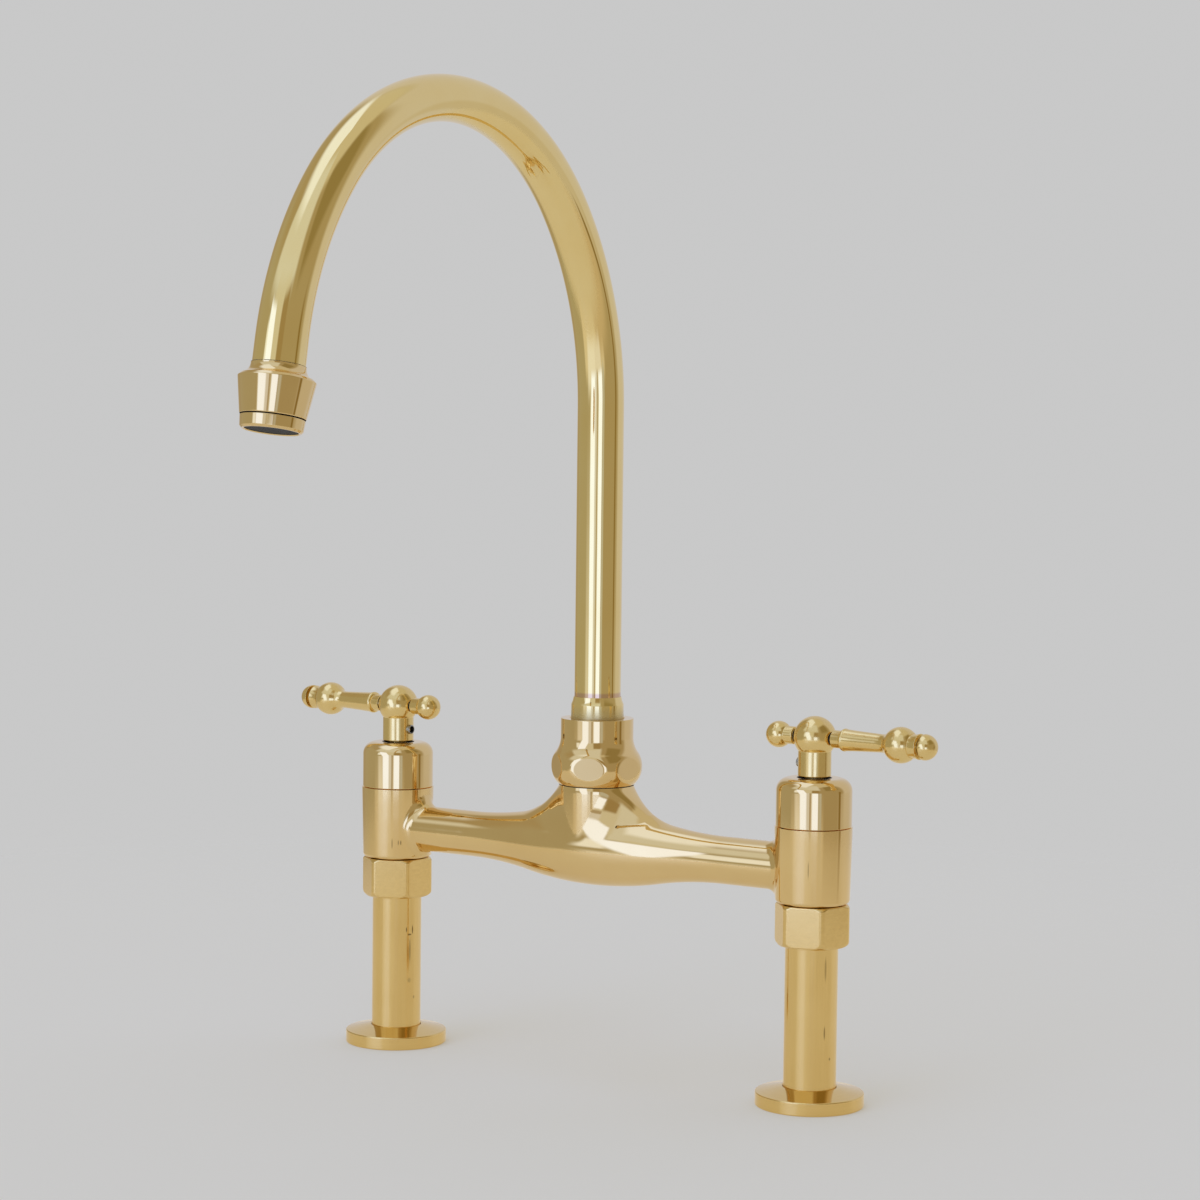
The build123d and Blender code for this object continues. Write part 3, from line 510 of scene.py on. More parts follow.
# hidden metal, seals, plastic, valve discs and set screws
machined = plain_finish("machined_brass", "#D9B66C", "#C79F55", 0.6, True, 0.32, 0.004)
rubber = plain_finish("nitrile_rubber", "#1A1A1A", "#242424", 0.8, False, 0.7, 0.01)
acetal = plain_finish("black_acetal", "#0B0C0E", "#121316", 3.0, False, 0.5, 0.001, 0.1)
alumina = plain_finish("lapped_alumina", "#EDEBE3", "#DEDBD0", 1.2, False, 0.18, 0.001)
steel = plain_finish("bright_steel", "#BDBCB8", "#9C9B97", 0.5, True, 0.25, 0.001)
SLOT_MATERIAL = {
    "polished_brass": mirror,
    "turned_brass": milled,
    "machined_brass": machined,
    "black_rubber": rubber,
    "black_plastic": acetal,
    "ceramic": alumina,
    "dark_steel": steel,
}
MATERIAL_SLOT = {material.name: slot for slot, material in SLOT_MATERIAL.items()}
MATERIAL_SLOT[drawn.name] = "turned_brass"
for finish in (tube_finish, turned_mirror, soft_mirror, turned):
    MATERIAL_SLOT[finish.name] = "polished_brass"
for row in frame["record"]["subparts"]:
    node = frame["nodes"][row["node"]]
    node.data.materials.clear()
    node.data.materials.append(SLOT_MATERIAL[row["material_slot"]])
print("materials:", len(bpy.data.materials))

# %% [markdown]
# ## Turned skins
# Most of a faucet comes off a lathe, so one function spins an outline of (radius, height) points.
# A real edge is never perfectly sharp: `softened` finds every corner of the outline and rounds it a
# little. It also puts a holding point close to each rounding, so that the flats stay flat to the eye.

# %% Outlines
EDGE_MM = 0.18
SMOOTH_TURN = radians(14)
HOLD_MM = 0.05
ROOM_SHARE = 0.42               # of a stretch that one rounding may use up
ROUND_STEP = radians(12)
ON_AXIS_MM = 1e-5


def arc(centre, radius, start, end, step=4.0):
    """Points on an arc, from start to end in degrees."""
    count = max(2, ceil(abs(end - start) / step))
    turns = [radians(start + (end - start) * i / count) for i in range(count + 1)]
    return [(centre[0] + radius * cos(t), centre[1] + radius * sin(t)) for t in turns]


def softened(outline, edge=EDGE_MM):
    """Round each corner of an outline, and hold the straight stretches beside it."""
    points = [Vector(p) for p in outline]
    result = [points[0]]
    for before, here, after in zip(points, points[1:], points[2:]):
        arrive = here - before
        leave = after - here
        if min(arrive.length, leave.length) < 1e-6:
            continue
        turn = arrive.angle(leave)
        if turn < SMOOTH_TURN:
            result.append(here)
            continue
        room = min(arrive.length, leave.length) * ROOM_SHARE
        back = min(edge * tan(turn / 2), room)
        radius = back / tan(turn / 2)
        arrive.normalize()
        leave.normalize()
        hold = min(HOLD_MM, room - back) if room > back else 0
        if hold > 0:
            result.append(here - arrive * (back + hold))
        start = here - arrive * back
        side = 1 if arrive.cross(leave) > 0 else -1
        inward = Vector((-arrive.y, arrive.x)) * side
        centre = start + inward * radius
        count = max(3, ceil(turn / ROUND_STEP))
        for i in range(count + 1):
            around = Matrix.Rotation(side * turn * i / count, 2)
            result.append(centre + around @ (start - centre))
        if hold > 0:
            result.append(here + leave * (back + hold))
    result.append(points[-1])
    return [tuple(p) for p in result]


def divided(outline, step):
    """Split the long stretches of an outline, so that a curve can cross them."""
    result = [outline[0]]
    for a, b in zip(outline, outline[1:]):
        count = max(1, ceil(hypot(b[0] - a[0], b[1] - a[1]) / step))
        result += [(a[0] + (b[0] - a[0]) * i / count, a[1] + (b[1] - a[1]) * i / count)
                   for i in range(1, count + 1)]
    return result


# %% Spinning an outline
def mesh_object(name, vertices, faces):
    """A smooth mesh object with its faces turned outwards. vertices are in millimetres."""
    mesh = bpy.data.meshes.new(name)
    mesh.from_pydata([tuple(c * MM for c in v) for v in vertices], [], faces)
    bm = bmesh.new()
    bm.from_mesh(mesh)
    bmesh.ops.remove_doubles(bm, verts=bm.verts, dist=1e-7)
    bmesh.ops.recalc_face_normals(bm, faces=bm.faces)
    bm.to_mesh(mesh)
    bm.free()
    mesh.shade_smooth()
    piece = bpy.data.objects.new(name, mesh)
    bpy.context.scene.collection.objects.link(piece)
    return piece


def spin(name, outline, place=Matrix(), steps=160, trim=None):
    """Turn an outline about Z. trim may cut the radius back: it gets radius and angle.

    The outline is closed, or begins and ends on the axis."""
    turns = np.arange(steps) * 2 * pi / steps
    rings = []
    vertices = []
    for radius, height in outline:
        if radius < ON_AXIS_MM:
            rings.append([len(vertices)] * steps)
            vertices.append((0, 0, height))
            continue
        radii = np.full(steps, radius) if trim is None else trim(radius, turns)
        rings.append(list(range(len(vertices), len(vertices) + steps)))
        vertices += [(r * cos(t), r * sin(t), height) for r, t in zip(radii, turns)]
    faces = []
    for one, two in zip(rings, rings[1:]):
        for i in range(steps):
            j = (i + 1) % steps
            face = list(dict.fromkeys((one[i], one[j], two[j], two[i])))
            if len(face) > 2:
                faces.append(face)
    return mesh_object(name, [place @ Vector(v) for v in vertices], faces)


def dress(piece, material, body, node):
    """Give a piece its finish, and let it stand for its solid."""
    piece.data.materials.clear()
    piece.data.materials.append(material)
    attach(piece, body)
    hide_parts(node)
    print(piece.name, "has", len(piece.data.polygons), "faces")


def turned_piece(name, outline, material, body, node, place=Matrix(), steps=160, edge=EDGE_MM, painted_shade=()):
    """Spin and dress a softened outline, with painted shade on the spans (low, high, radius) given last."""
    piece = spin(f"{name}_skin", softened(outline, edge), place, steps)
    for low, high, inside in painted_shade:
        mark_painted_shade(piece, place, low, high, inside)
    dress(piece, material, body, node)


def at_pillar(side):
    """Place of an upright piece on one side."""
    return Matrix.Translation((pillar_x[side], 0, 0))


# %% [markdown]
# ## Legs, flanges and bonnets
# Plain turned pieces. The flange is a disc with a shallow cone on top, and the bonnet a round cap whose
# top edge was rounded on the lathe. Their places and outer sizes come from the frame.

# %% Upright turned pieces
leg_bore_mm = 6.5
leg_collar_mm, leg_collar_height_mm = 0.95, 2.8
flange_gap_mm, flange_cone_mm, flange_edge_mm = 0.1, 2.4, 0.5
bonnet_round_mm, bonnet_wall_mm, bonnet_roof_mm = 5.0, 1.9, 5.0
bonnet_hole_mm, bonnet_bore_middle_mm = 5.3, 3.5
# the bonnet's top gets painted shade round the hub's neck, out to about here
bonnet_shade_edge_mm, bonnet_shade_end_mm = 6.6, 7.1


def make_leg(side):
    node = f"{side}_leg"
    base, top, collar = low_mm(node).z, high_mm(node).z, radius_mm(node)
    radius, collar_base = collar - leg_collar_mm, top - leg_collar_height_mm
    outline = [(leg_bore_mm, base), (radius, base), (radius, collar_base), (collar, collar_base),
               (collar, top), (leg_bore_mm, top), (leg_bore_mm, base)]
    turned_piece(node, outline, drawn, "root", node, at_pillar(side))


def make_flange(side):
    node = f"{side}_base_flange"
    base, top, rim = low_mm(node).z, high_mm(node).z, radius_mm(node)
    bore = radius_mm(f"{side}_leg") - leg_collar_mm + flange_gap_mm
    outline = [(bore, base), (rim, base), (rim, top - flange_cone_mm), (bore, top), (bore, base)]
    turned_piece(f"{side}_flange", outline, turned, "root", node, at_pillar(side), 256, flange_edge_mm)


def make_bonnet(side):
    node = f"{side}_bonnet"
    base, top, radius = low_mm(node).z, high_mm(node).z, radius_mm(node)
    hole, inner, roof = bonnet_hole_mm, radius - bonnet_wall_mm, top - bonnet_roof_mm
    round_middle = (radius - bonnet_round_mm, top - bonnet_round_mm)
    start = (hole, top - bonnet_bore_middle_mm)
    outline = [start, (hole, top), (bonnet_shade_edge_mm, top), (bonnet_shade_end_mm, top)]
    outline += arc(round_middle, bonnet_round_mm, 90, 0)
    outline += [(radius, base), (inner, base), (inner, roof), (hole, roof), start]
    # painted shade on the ring of the bonnet's top round the hub's neck
    shade_edge = (bonnet_shade_edge_mm + bonnet_shade_end_mm) / 2
    turned_piece(node, outline, turned_mirror, "root", node, at_pillar(side), 256,
                 painted_shade=[(base - 1, top + 1, shade_edge)])


for side in SIDES:
    make_leg(side)
    make_flange(side)
    make_bonnet(side)


# %% [markdown]
# ## Nuts with flats
# A hexagon nut starts as a turned blank, and its six flats are then milled. The skin does the same: the
# radius of the spun outline is cut back to the nearest flat. A soft minimum rounds the edge where the
# flat meets the turned surface, as a buffing wheel does.


# %% Flats
FLAT_BREAK_MM, FLAT_BREAK_START_MM = 0.3, 0.8


def soft_min(a, b, width):
    """The smaller of two values, with the change from one to the other spread over width."""
    share = np.clip(0.5 + 0.5 * (b - a) / width, 0, 1)
    return b * (1 - share) + a * share - width * share * (1 - share)


def six_flats(across, corner_turn, corner_round, width, reach=0.0):
    """A trim for spin: six flats, with a rounded corner at corner_turn degrees.

    With a reach, the flats' ends are broken a little where the outline is well inside it."""
    half = across / 2
    middle = (half - corner_round) / cos(pi / 6)
    touch = atan2(corner_round * sin(pi / 6), middle + corner_round * cos(pi / 6))

    def trim(radius, turns):
        off = np.abs(np.mod(turns - radians(corner_turn) + pi / 6, pi / 3) - pi / 6)
        inset = min(max(reach - radius - FLAT_BREAK_START_MM, 0), FLAT_BREAK_MM)
        flat = half / np.cos(pi / 6 - off)
        inner = np.maximum(corner_round ** 2 - (middle * np.sin(off)) ** 2, 0)
        rounded = middle * np.cos(off) + np.sqrt(inner)
        return soft_min(np.full_like(turns, radius), np.where(off < touch, rounded, flat) - inset, width)
    return trim


union_flat_width = 0.3
union_corner_turn = {"left": 23.5, "right": 13.5}
union_across_mm = 26.7
union_corner_mm = 2.0
union_reach_mm = 15.1           # out to a rounded corner
union_round_mm = 2.6
union_break_mm = 1.1
union_bore_mm, union_web_bore_mm = 11.6, 10.6
union_web_mm = 2.8
union_steps, union_row_mm = 480, 0.2


def make_union_nut(side):
    node = f"{side}_union_nut"
    base, top = low_mm(node).z, high_mm(node).z
    reach, web = union_reach_mm, base + union_web_mm
    middle = (reach - union_round_mm, base + union_round_mm)
    outer = [(middle[0], base)] + arc(middle, union_round_mm, -90, 0)
    outer += [(reach, top - union_break_mm), (reach - union_break_mm, top)]
    outline = [(union_web_bore_mm, base)] + divided(outer, union_row_mm) + [
        (union_bore_mm, top), (union_bore_mm, web), (union_web_bore_mm, web), (union_web_bore_mm, base)]
    trim = six_flats(union_across_mm, union_corner_turn[side], union_corner_mm, union_flat_width, reach)
    dress(spin(f"{node}_skin", outline, at_pillar(side), union_steps, trim), milled, "root", node)


for side in SIDES:
    make_union_nut(side)


# %% Spout nut
nut_corner_turn = 22.0
nut_corner_round, nut_flat_width, nut_flat_depth = 0.5, 0.45, 1.37
nut_throat, nut_thread, nut_thread_depth = 11.45, 13.3, 10.4
nut_rim, nut_rim_end = nut_throat + 3.5, 19.3
nut_waist, nut_waist_height = nut_rim + 2.05, 13.0
nut_bulge, nut_bulge_height = 18.72, 6.6
nut_foot = 15.55
nut_steps, nut_row_mm = 480, 0.25


def circle_through(a, b, c):
    """Centre and radius of the circle through three points."""
    (ax, ay), (bx, by), (cx, cy) = a, b, c
    d = 2 * (ax * (by - cy) + bx * (cy - ay) + cx * (ay - by))
    a2, b2, c2 = ax * ax + ay * ay, bx * bx + by * by, cx * cx + cy * cy
    ux = (a2 * (by - cy) + b2 * (cy - ay) + c2 * (ay - by)) / d
    uy = (a2 * (cx - bx) + b2 * (ax - cx) + c2 * (bx - ax)) / d
    return (ux, uy), hypot(ax - ux, ay - uy)


def arc_through(a, b, c, step=3.0):
    """Points on the arc that runs from a by way of b to c."""
    centre, radius = circle_through(a, b, c)
    turn = [degrees(atan2(p[1] - centre[1], p[0] - centre[0])) for p in (a, b, c)]
    for i in (1, 2):
        while turn[i] - turn[i - 1] > 180:
            turn[i] -= 360
        while turn[i] - turn[i - 1] < -180:
            turn[i] += 360
    return arc(centre, radius, turn[0], turn[2], step)


def hollow_arc(start_radius, start, end_radius, end, step=4.0):
    """A hollow curve that leaves start upright and flares to end_radius: the arc, as points."""
    rise, length = end_radius - start_radius, abs(end - start)
    radius = (rise ** 2 + length ** 2) / (2 * rise)
    sweep = degrees(asin(min(1, length / radius)))
    return arc((start_radius + radius, start), radius, 180, 180 + (sweep if end < start else -sweep), step)


def make_spout_nut():
    base, top = low_mm("spout_nut").z, high_mm("spout_nut").z
    waist = (nut_waist, base + nut_waist_height)
    hollow = hollow_arc(nut_rim, base + nut_rim_end, *waist, 1.5)
    belly = arc_through(waist, (nut_bulge, base + nut_bulge_height), (nut_foot, base))
    start, roof = (nut_throat, top), top - nut_thread_depth
    outer = softened([start, (nut_rim, top)] + hollow + belly[1:] + [(nut_thread, base)])
    inner = [(nut_thread, roof), (nut_throat, roof), start]
    trim = six_flats(2 * (nut_bulge - nut_flat_depth), nut_corner_turn, nut_corner_round, nut_flat_width)
    piece = spin("spout_nut_skin", divided(outer, nut_row_mm) + inner, Matrix(), nut_steps, trim)
    # painted shade in the nut's throat, round the sleeve
    mark_painted_shade(piece, Matrix(), base - 1, top - 0.4, nut_throat + 0.15)
    dress(piece, mirror, "root", "spout_nut")


make_spout_nut()

# %% [markdown]
# ## Bridge casting
# The casting is the faucet's one sculpted form: a swelling arm, a hub on top and a valve body at each end,
# all melted together. A pattern maker rolls a ball along each inside corner. The skin uses the same
# rule: the ball's centre runs on a line at one ball radius from both surfaces, and the fillet is where
# the ball touches. A function gives the distance of any point from that skin, a grid of cells finds
# where it changes sign, and each vertex is then slid onto the exact surface. Under the hub's shoulder the
# saddle gives way to a tighter hollow flare, and a small ridge is left where the two meet.

# %% Distances to the plain forms
water_z = 93.2
arm_radius = 9.5
belly_radius = 15.7
belly_reach = 62.0
hub_foot_radius = 14.95
hub_top_radius = 15.45
saddle_ball = 25.0
root_ball = 5.0
hub_top_z = high_mm("spout_nut_washer").z - 0.3
body_base_z = high_mm("left_union_nut").z + 0.3
body_top_z = low_mm("left_bonnet").z - 0.3
valve_top_radius = 15.35
valve_foot_radius = valve_top_radius - 0.7
post_x = pillar_x["right"]
swell = belly_radius - arm_radius
sweep_radius = (belly_reach ** 2 + swell ** 2) / (4 * swell)


def unit(v):
    return v / np.linalg.norm(v, axis=-1, keepdims=True)


def arm_distance(p):
    """Distance from the arm: a round bar that swells by two arcs. Gives the normal too."""
    x, y, z = np.abs(p[..., 0]), p[..., 1], p[..., 2] - water_z
    out = np.maximum(np.hypot(y, z), 1e-6)
    middle = np.array([belly_reach / 2, (arm_radius + belly_radius) / 2])
    inner_centre = np.array([0, belly_radius - sweep_radius])
    outer_centre = np.array([belly_reach, arm_radius + sweep_radius])
    line = outer_centre - inner_centre
    beyond = (x - middle[0]) * line[1] - (out - middle[1]) * line[0] > 0
    inner = np.stack([x - inner_centre[0], out - inner_centre[1]], -1)
    outer = np.stack([outer_centre[0] - x, outer_centre[1] - out], -1)
    distance = np.where(beyond, sweep_radius - np.linalg.norm(outer, axis=-1),
                        np.linalg.norm(inner, axis=-1) - sweep_radius)
    slope = np.where(beyond[..., None], unit(outer), unit(inner))
    straight = x > belly_reach
    distance = np.where(straight, out - arm_radius, distance)
    slope = np.where(straight[..., None], np.array([0.0, 1.0]), slope)
    side = np.sign(p[..., 0] + 1e-12)
    normal = np.stack([slope[..., 0] * side, slope[..., 1] * y / out, slope[..., 1] * z / out], -1)
    return distance, normal


def cone_distance(p, axis_x, foot_z, foot_radius, top_z, top_radius):
    """Distance from a slightly tapered upright post."""
    x, y = p[..., 0] - axis_x, p[..., 1]
    out = np.maximum(np.hypot(x, y), 1e-6)
    taper = (top_radius - foot_radius) / (top_z - foot_z)
    size = sqrt(1 + taper * taper)
    distance = (out - foot_radius - taper * (p[..., 2] - foot_z)) / size
    normal = np.stack([x / out, y / out, np.full_like(out, -taper)], -1) / size
    return distance, normal


def hub_distance(p):
    return cone_distance(p, 0, water_z, hub_foot_radius, hub_top_z, hub_top_radius)


def valve_distance(p):
    return cone_distance(p, post_x, body_base_z, valve_foot_radius, body_top_z, valve_top_radius)


# %% Rolling-ball fillets
def bisect(function, low, high, rounds=40):
    """Where function crosses zero between low and high, for many values at once."""
    for _ in range(rounds):
        middle = (low + high) / 2
        above = function(middle) > 0
        high = np.where(above, middle, high)
        low = np.where(above, low, middle)
    return (low + high) / 2


def saddle_line():
    """Centres of the ball that rolls between hub and arm, over a quarter turn."""
    turns = np.radians(np.linspace(0, 90, 181))
    taper = (hub_top_radius - hub_foot_radius) / (hub_top_z - water_z)

    def point(height):
        out = hub_foot_radius + taper * (height - water_z) + saddle_ball * sqrt(1 + taper ** 2)
        return np.stack([out * np.cos(turns), out * np.sin(turns), height], -1)

    start = np.full_like(turns, water_z)
    height = bisect(lambda h: arm_distance(point(h))[0] - saddle_ball, start, start + 60)
    return point(height)


def root_line():
    """Centres of the ball that rolls between arm and valve body, over the front half."""
    turns = np.radians(np.linspace(-90, 90, 181))
    out = arm_radius + root_ball
    y, z = out * np.cos(turns), water_z + out * np.sin(turns)
    y[0] = y[-1] = 0

    def point(x):
        return np.stack([x, y, z], -1)

    start = np.full_like(turns, post_x)
    x = bisect(lambda v: valve_distance(point(v))[0] - root_ball, start, start - 40)
    return point(x)


def nearest_on_line(p, line):
    """Nearest point of a fine polyline to each point, and the nearest vertex's number."""
    best = np.empty(len(p), int)
    for start in range(0, len(p), 20000):
        chunk = p[start:start + 20000]
        best[start:start + 20000] = ((chunk[:, None, :] - line[None]) ** 2).sum(-1).argmin(1)
    near = line[best]
    result, reach = near.copy(), ((p - near) ** 2).sum(-1)
    for step in (-1, 1):
        other = line[np.clip(best + step, 0, len(line) - 1)]
        run = other - near
        length = np.maximum((run ** 2).sum(-1), 1e-12)
        share = np.clip(((p - near) * run).sum(-1) / length, 0, 1)
        spot = near + run * share[:, None]
        gap = ((p - spot) ** 2).sum(-1)
        closer = gap < reach
        result[closer], reach = spot[closer], np.where(closer, gap, reach)
    return result


def filleted(p, first, second, line, ball):
    """Distance from the union of two forms with a rolled fillet between them."""
    a, b = first(p)[0], second(p)[0]
    result = np.minimum(a, b)
    close = (np.maximum(a, b) < ball) & (result > -1) & (result < ball / 2)
    if not close.any():
        return result
    centre = nearest_on_line(p[close], line)
    one, two = first(centre)[1], second(centre)[1]
    away = p[close] - centre
    lean = (one * two).sum(-1)
    along_one, along_two = (away * one).sum(-1), (away * two).sum(-1)
    inside = (along_one - lean * along_two < 0) & (along_two - lean * along_one < 0)
    rolled = ball - np.linalg.norm(away, axis=-1)
    result[close] = np.where(inside, rolled, result[close])
    return result


SADDLE, ROOT = saddle_line(), root_line()
flare_width, flare_drop = 10.55, 9.8
flare_start, flare_end = tan(radians(20.0)), tan(radians(54.1))
middle_drop = (flare_end * flare_drop - flare_width) / (flare_end - flare_start)
middle_width = flare_start * middle_drop
ridge_mm = 1.2
print("saddle line runs from", SADDLE[0].round(1), "to", SADDLE[-1].round(1))


def flare_distance(out, drop):
    """Distance outside the hollow flare under the shoulder: a curve with three control points."""
    bend = flare_drop - 2 * middle_drop
    root = np.sqrt(np.maximum(middle_drop ** 2 + bend * drop, 0.1))
    t = (root - middle_drop) / bend
    radius = hub_top_radius + 2 * middle_width * t * (1 - t) + flare_width * t * t
    lean = (middle_width + (flare_width - 2 * middle_width) * t) / root
    return (out - radius) / np.sqrt(1 + lean * lean)


def casting_distance(p):
    """Signed distance from the whole casting, worked out in the front right quarter."""
    q = np.stack([np.abs(p[:, 0]), np.abs(p[:, 1]), p[:, 2]], -1)
    result = valve_distance(q)[0]
    upper = (q[:, 0] <= belly_reach) & (q[:, 2] > water_z)
    lower = (q[:, 0] <= belly_reach) & (q[:, 2] <= water_z)
    end = (q[:, 0] > belly_reach) & (q[:, 0] < post_x)
    result[end] = filleted(q[end], arm_distance, valve_distance, ROOT, root_ball)
    result[lower] = arm_distance(q[lower])[0]
    middle = filleted(q[upper], arm_distance, hub_distance, SADDLE, saddle_ball)
    out = np.hypot(q[upper, 0], q[upper, 1])
    drop = hub_top_z - q[upper, 2]
    over = np.minimum(flare_distance(out, drop), flare_drop - drop)
    result[upper] = -soft_min(-middle, -over, ridge_mm)
    return result


# %% A skin from a distance
def surface_net(distance, low, high, cell):
    """Vertices and quads where distance changes sign, one vertex to a cell."""
    axes = [np.arange(a, b + cell, cell) for a, b in zip(low, high)]
    grid = np.stack(np.meshgrid(*axes, indexing="ij"), -1)
    value = distance(grid.reshape(-1, 3)).reshape(grid.shape[:3])
    cells = np.array(value.shape) - 1
    total, count = np.zeros([*cells, 3]), np.zeros(cells)
    crossings = []
    for axis in range(3):
        first, second = [slice(None)] * 3, [slice(None)] * 3
        first[axis], second[axis] = slice(0, -1), slice(1, None)
        first, second = tuple(first), tuple(second)
        a, b = value[first], value[second]
        change = (a < 0) != (b < 0)
        spot = grid[first][change].copy()
        spot[:, axis] += (a / np.where(a == b, 1, a - b))[change] * cell
        crossings.append((axis, np.argwhere(change), spot, a[change] < 0))

    def beside(axis, index, du, dv):
        """The cell on one side of a crossed edge, and whether it is in the grid."""
        home = index.copy()
        home[:, [a for a in range(3) if a != axis]] += (du, dv)
        return home, ((home >= 0) & (home < cells)).all(1)

    for axis, index, spot, _ in crossings:
        for du, dv in ((0, 0), (0, -1), (-1, 0), (-1, -1)):
            home, good = beside(axis, index, du, dv)
            where = tuple(home[good].T)
            np.add.at(total, where, spot[good])
            np.add.at(count, where, 1)
    used = count > 0
    number = -np.ones(cells, int)
    number[used] = np.arange(used.sum())
    quads = []
    for axis, index, _, was_inside in crossings:
        corners = []
        for du, dv in ((0, 0), (-1, 0), (-1, -1), (0, -1)):
            home, good = beside(axis, index, du, dv)
            corners.append(np.where(good, number[tuple(np.clip(home, 0, cells - 1).T)], -1))
        quad = np.stack(corners, 1)
        flip = was_inside if axis != 1 else ~was_inside
        quad[flip] = quad[flip][:, ::-1]
        quads.append(quad[(quad >= 0).all(1)])
    return total[used] / count[used][:, None], np.concatenate(quads)


def slopes(distance, p, reach=0.01):
    """Normal direction of a distance at each point."""
    result = np.empty_like(p)
    for axis in range(3):
        step = np.zeros(3)
        step[axis] = reach
        result[:, axis] = (distance(p + step) - distance(p - step)) / (2 * reach)
    return result


def settle(distance, p, rounds=3):
    """Slide points onto the surface."""
    for _ in range(rounds):
        slope = slopes(distance, p)
        size = np.maximum((slope ** 2).sum(-1, keepdims=True), 1e-6)
        p = p - distance(p)[:, None] * slope / size
    return p


# %% The casting's skin
skin_cell = 0.62
side_margin_mm, end_margin_mm = 2, 6
hub_reach, valve_reach, cut_depth = 30, 18, 12
hub_cut_mm, hub_break_mm, hub_neck_mm, hub_neck_rise_mm = 0.12, 0.03, 13.2, 1
valve_cut_mm, valve_break_mm, valve_neck_mm, valve_neck_rise_mm = 0.14, 0.04, 13.0, 1.5
body_round_mm, foot_overlap_mm = 1.5, 0.02
spigot_mm, spigot_drop_mm = 11.5, 2
rim_skirt_mm, rim_chamfer_mm, neck_draft_mm = 0.04, 0.15, 0.05
rim_band_mm = 0.1               # near a rim the skin keeps the turned edge's normals
skin_error_mm = 0.004
weld_mm = 0.001


def cut_level(bm, x, height, keep_below, reach):
    """Slice the skin flat at a height, within reach of an upright axis. Gives the rim's edges."""
    side = 1 if keep_below else -1
    near = []
    for face in bm.faces:
        middle = face.calc_center_median()
        if hypot(middle.x - x, middle.y) < reach and side * (middle.z - height) > -cut_depth:
            near.append(face)
    corners, sides = [v for f in near for v in f.verts], [e for f in near for e in f.edges]
    geometry = list(dict.fromkeys(corners + sides)) + near
    cut = bmesh.ops.bisect_plane(bm, geom=geometry, plane_co=(0, 0, height), plane_no=(0, 0, 1),
                                 clear_outer=keep_below, clear_inner=not keep_below)["geom_cut"]
    rim = {v for v in cut if isinstance(v, bmesh.types.BMVert)}
    return [e for e in bm.edges if e.is_boundary and rim.issuperset(e.verts)]


def follow_profile(bm, x, edges, profile):
    """Carry a rim through rings of (radius, height), each vertex keeping its own direction."""
    for radius, height in profile:
        grown = bmesh.ops.extrude_edge_only(bm, edges=edges)["geom"]
        ring = {v for v in grown if isinstance(v, bmesh.types.BMVert)}
        edges = [e for e in grown if isinstance(e, bmesh.types.BMEdge) and ring.issuperset(e.verts)]
        for vertex in ring:
            scale = radius / hypot(vertex.co.x - x, vertex.co.y)
            vertex.co = (x + (vertex.co.x - x) * scale, vertex.co.y * scale, height)
    bmesh.ops.contextual_create(bm, geom=edges)


def rim_rings(radius, top, edge, neck, rise):
    """Rings over a broken edge, across a flat rim and a little way up the hidden threaded neck."""
    return [(radius - rim_skirt_mm, top - edge), (radius - rim_chamfer_mm, top),
            (neck, top), (neck - neck_draft_mm, top + rise)]


def make_casting():
    wide, deep = post_x + valve_top_radius + side_margin_mm, valve_top_radius + side_margin_mm
    low = (-wide, -deep, water_z - belly_radius - end_margin_mm)
    high = (wide, deep, hub_top_z + end_margin_mm)
    vertices, quads = surface_net(casting_distance, low, high, skin_cell)
    vertices = settle(casting_distance, vertices)
    error = np.abs(casting_distance(vertices)).max()
    print("casting skin:", len(vertices), "vertices, largest error", error.round(4), "mm")
    bm = bmesh.new()
    made = [bm.verts.new(v) for v in vertices]
    for quad in quads:
        bm.faces.new([made[i] for i in quad])
    bm.normal_update()
    hub_rings = rim_rings(hub_top_radius, hub_top_z, hub_break_mm, hub_neck_mm, hub_neck_rise_mm)
    valve_rings = rim_rings(valve_top_radius, body_top_z, valve_break_mm, valve_neck_mm, valve_neck_rise_mm)
    foot_radius = valve_foot_radius - body_round_mm + foot_overlap_mm
    foot = arc((foot_radius, body_base_z + body_round_mm), body_round_mm, -8, -90, 8)
    foot += [(spigot_mm, body_base_z), (spigot_mm - neck_draft_mm, body_base_z - spigot_drop_mm)]
    follow_profile(bm, 0, cut_level(bm, 0, hub_top_z - hub_cut_mm, True, hub_reach), hub_rings)
    for x in (-post_x, post_x):
        follow_profile(bm, x, cut_level(bm, x, body_top_z - valve_cut_mm, True, valve_reach), valve_rings)
        follow_profile(bm, x, cut_level(bm, x, body_base_z + body_round_mm, False, valve_reach), foot)
    bmesh.ops.remove_doubles(bm, verts=bm.verts, dist=weld_mm)
    bmesh.ops.recalc_face_normals(bm, faces=bm.faces)
    bmesh.ops.scale(bm, vec=(MM, MM, MM), verts=bm.verts)
    mesh = bpy.data.meshes.new("bridge_casting_skin")
    bm.to_mesh(mesh)
    bm.free()
    mesh.shade_smooth()
    piece = bpy.data.objects.new("bridge_casting_skin", mesh)
    bpy.context.scene.collection.objects.link(piece)
    set_true_normals(mesh)
    # painted shade on the seam at the top of the hub, under the spout nut
    mark_painted_shade(piece, Matrix(), hub_top_z - 0.06, hub_top_z + 2, hub_top_radius)
    dress(piece, mirror, "root", "bridge_body")


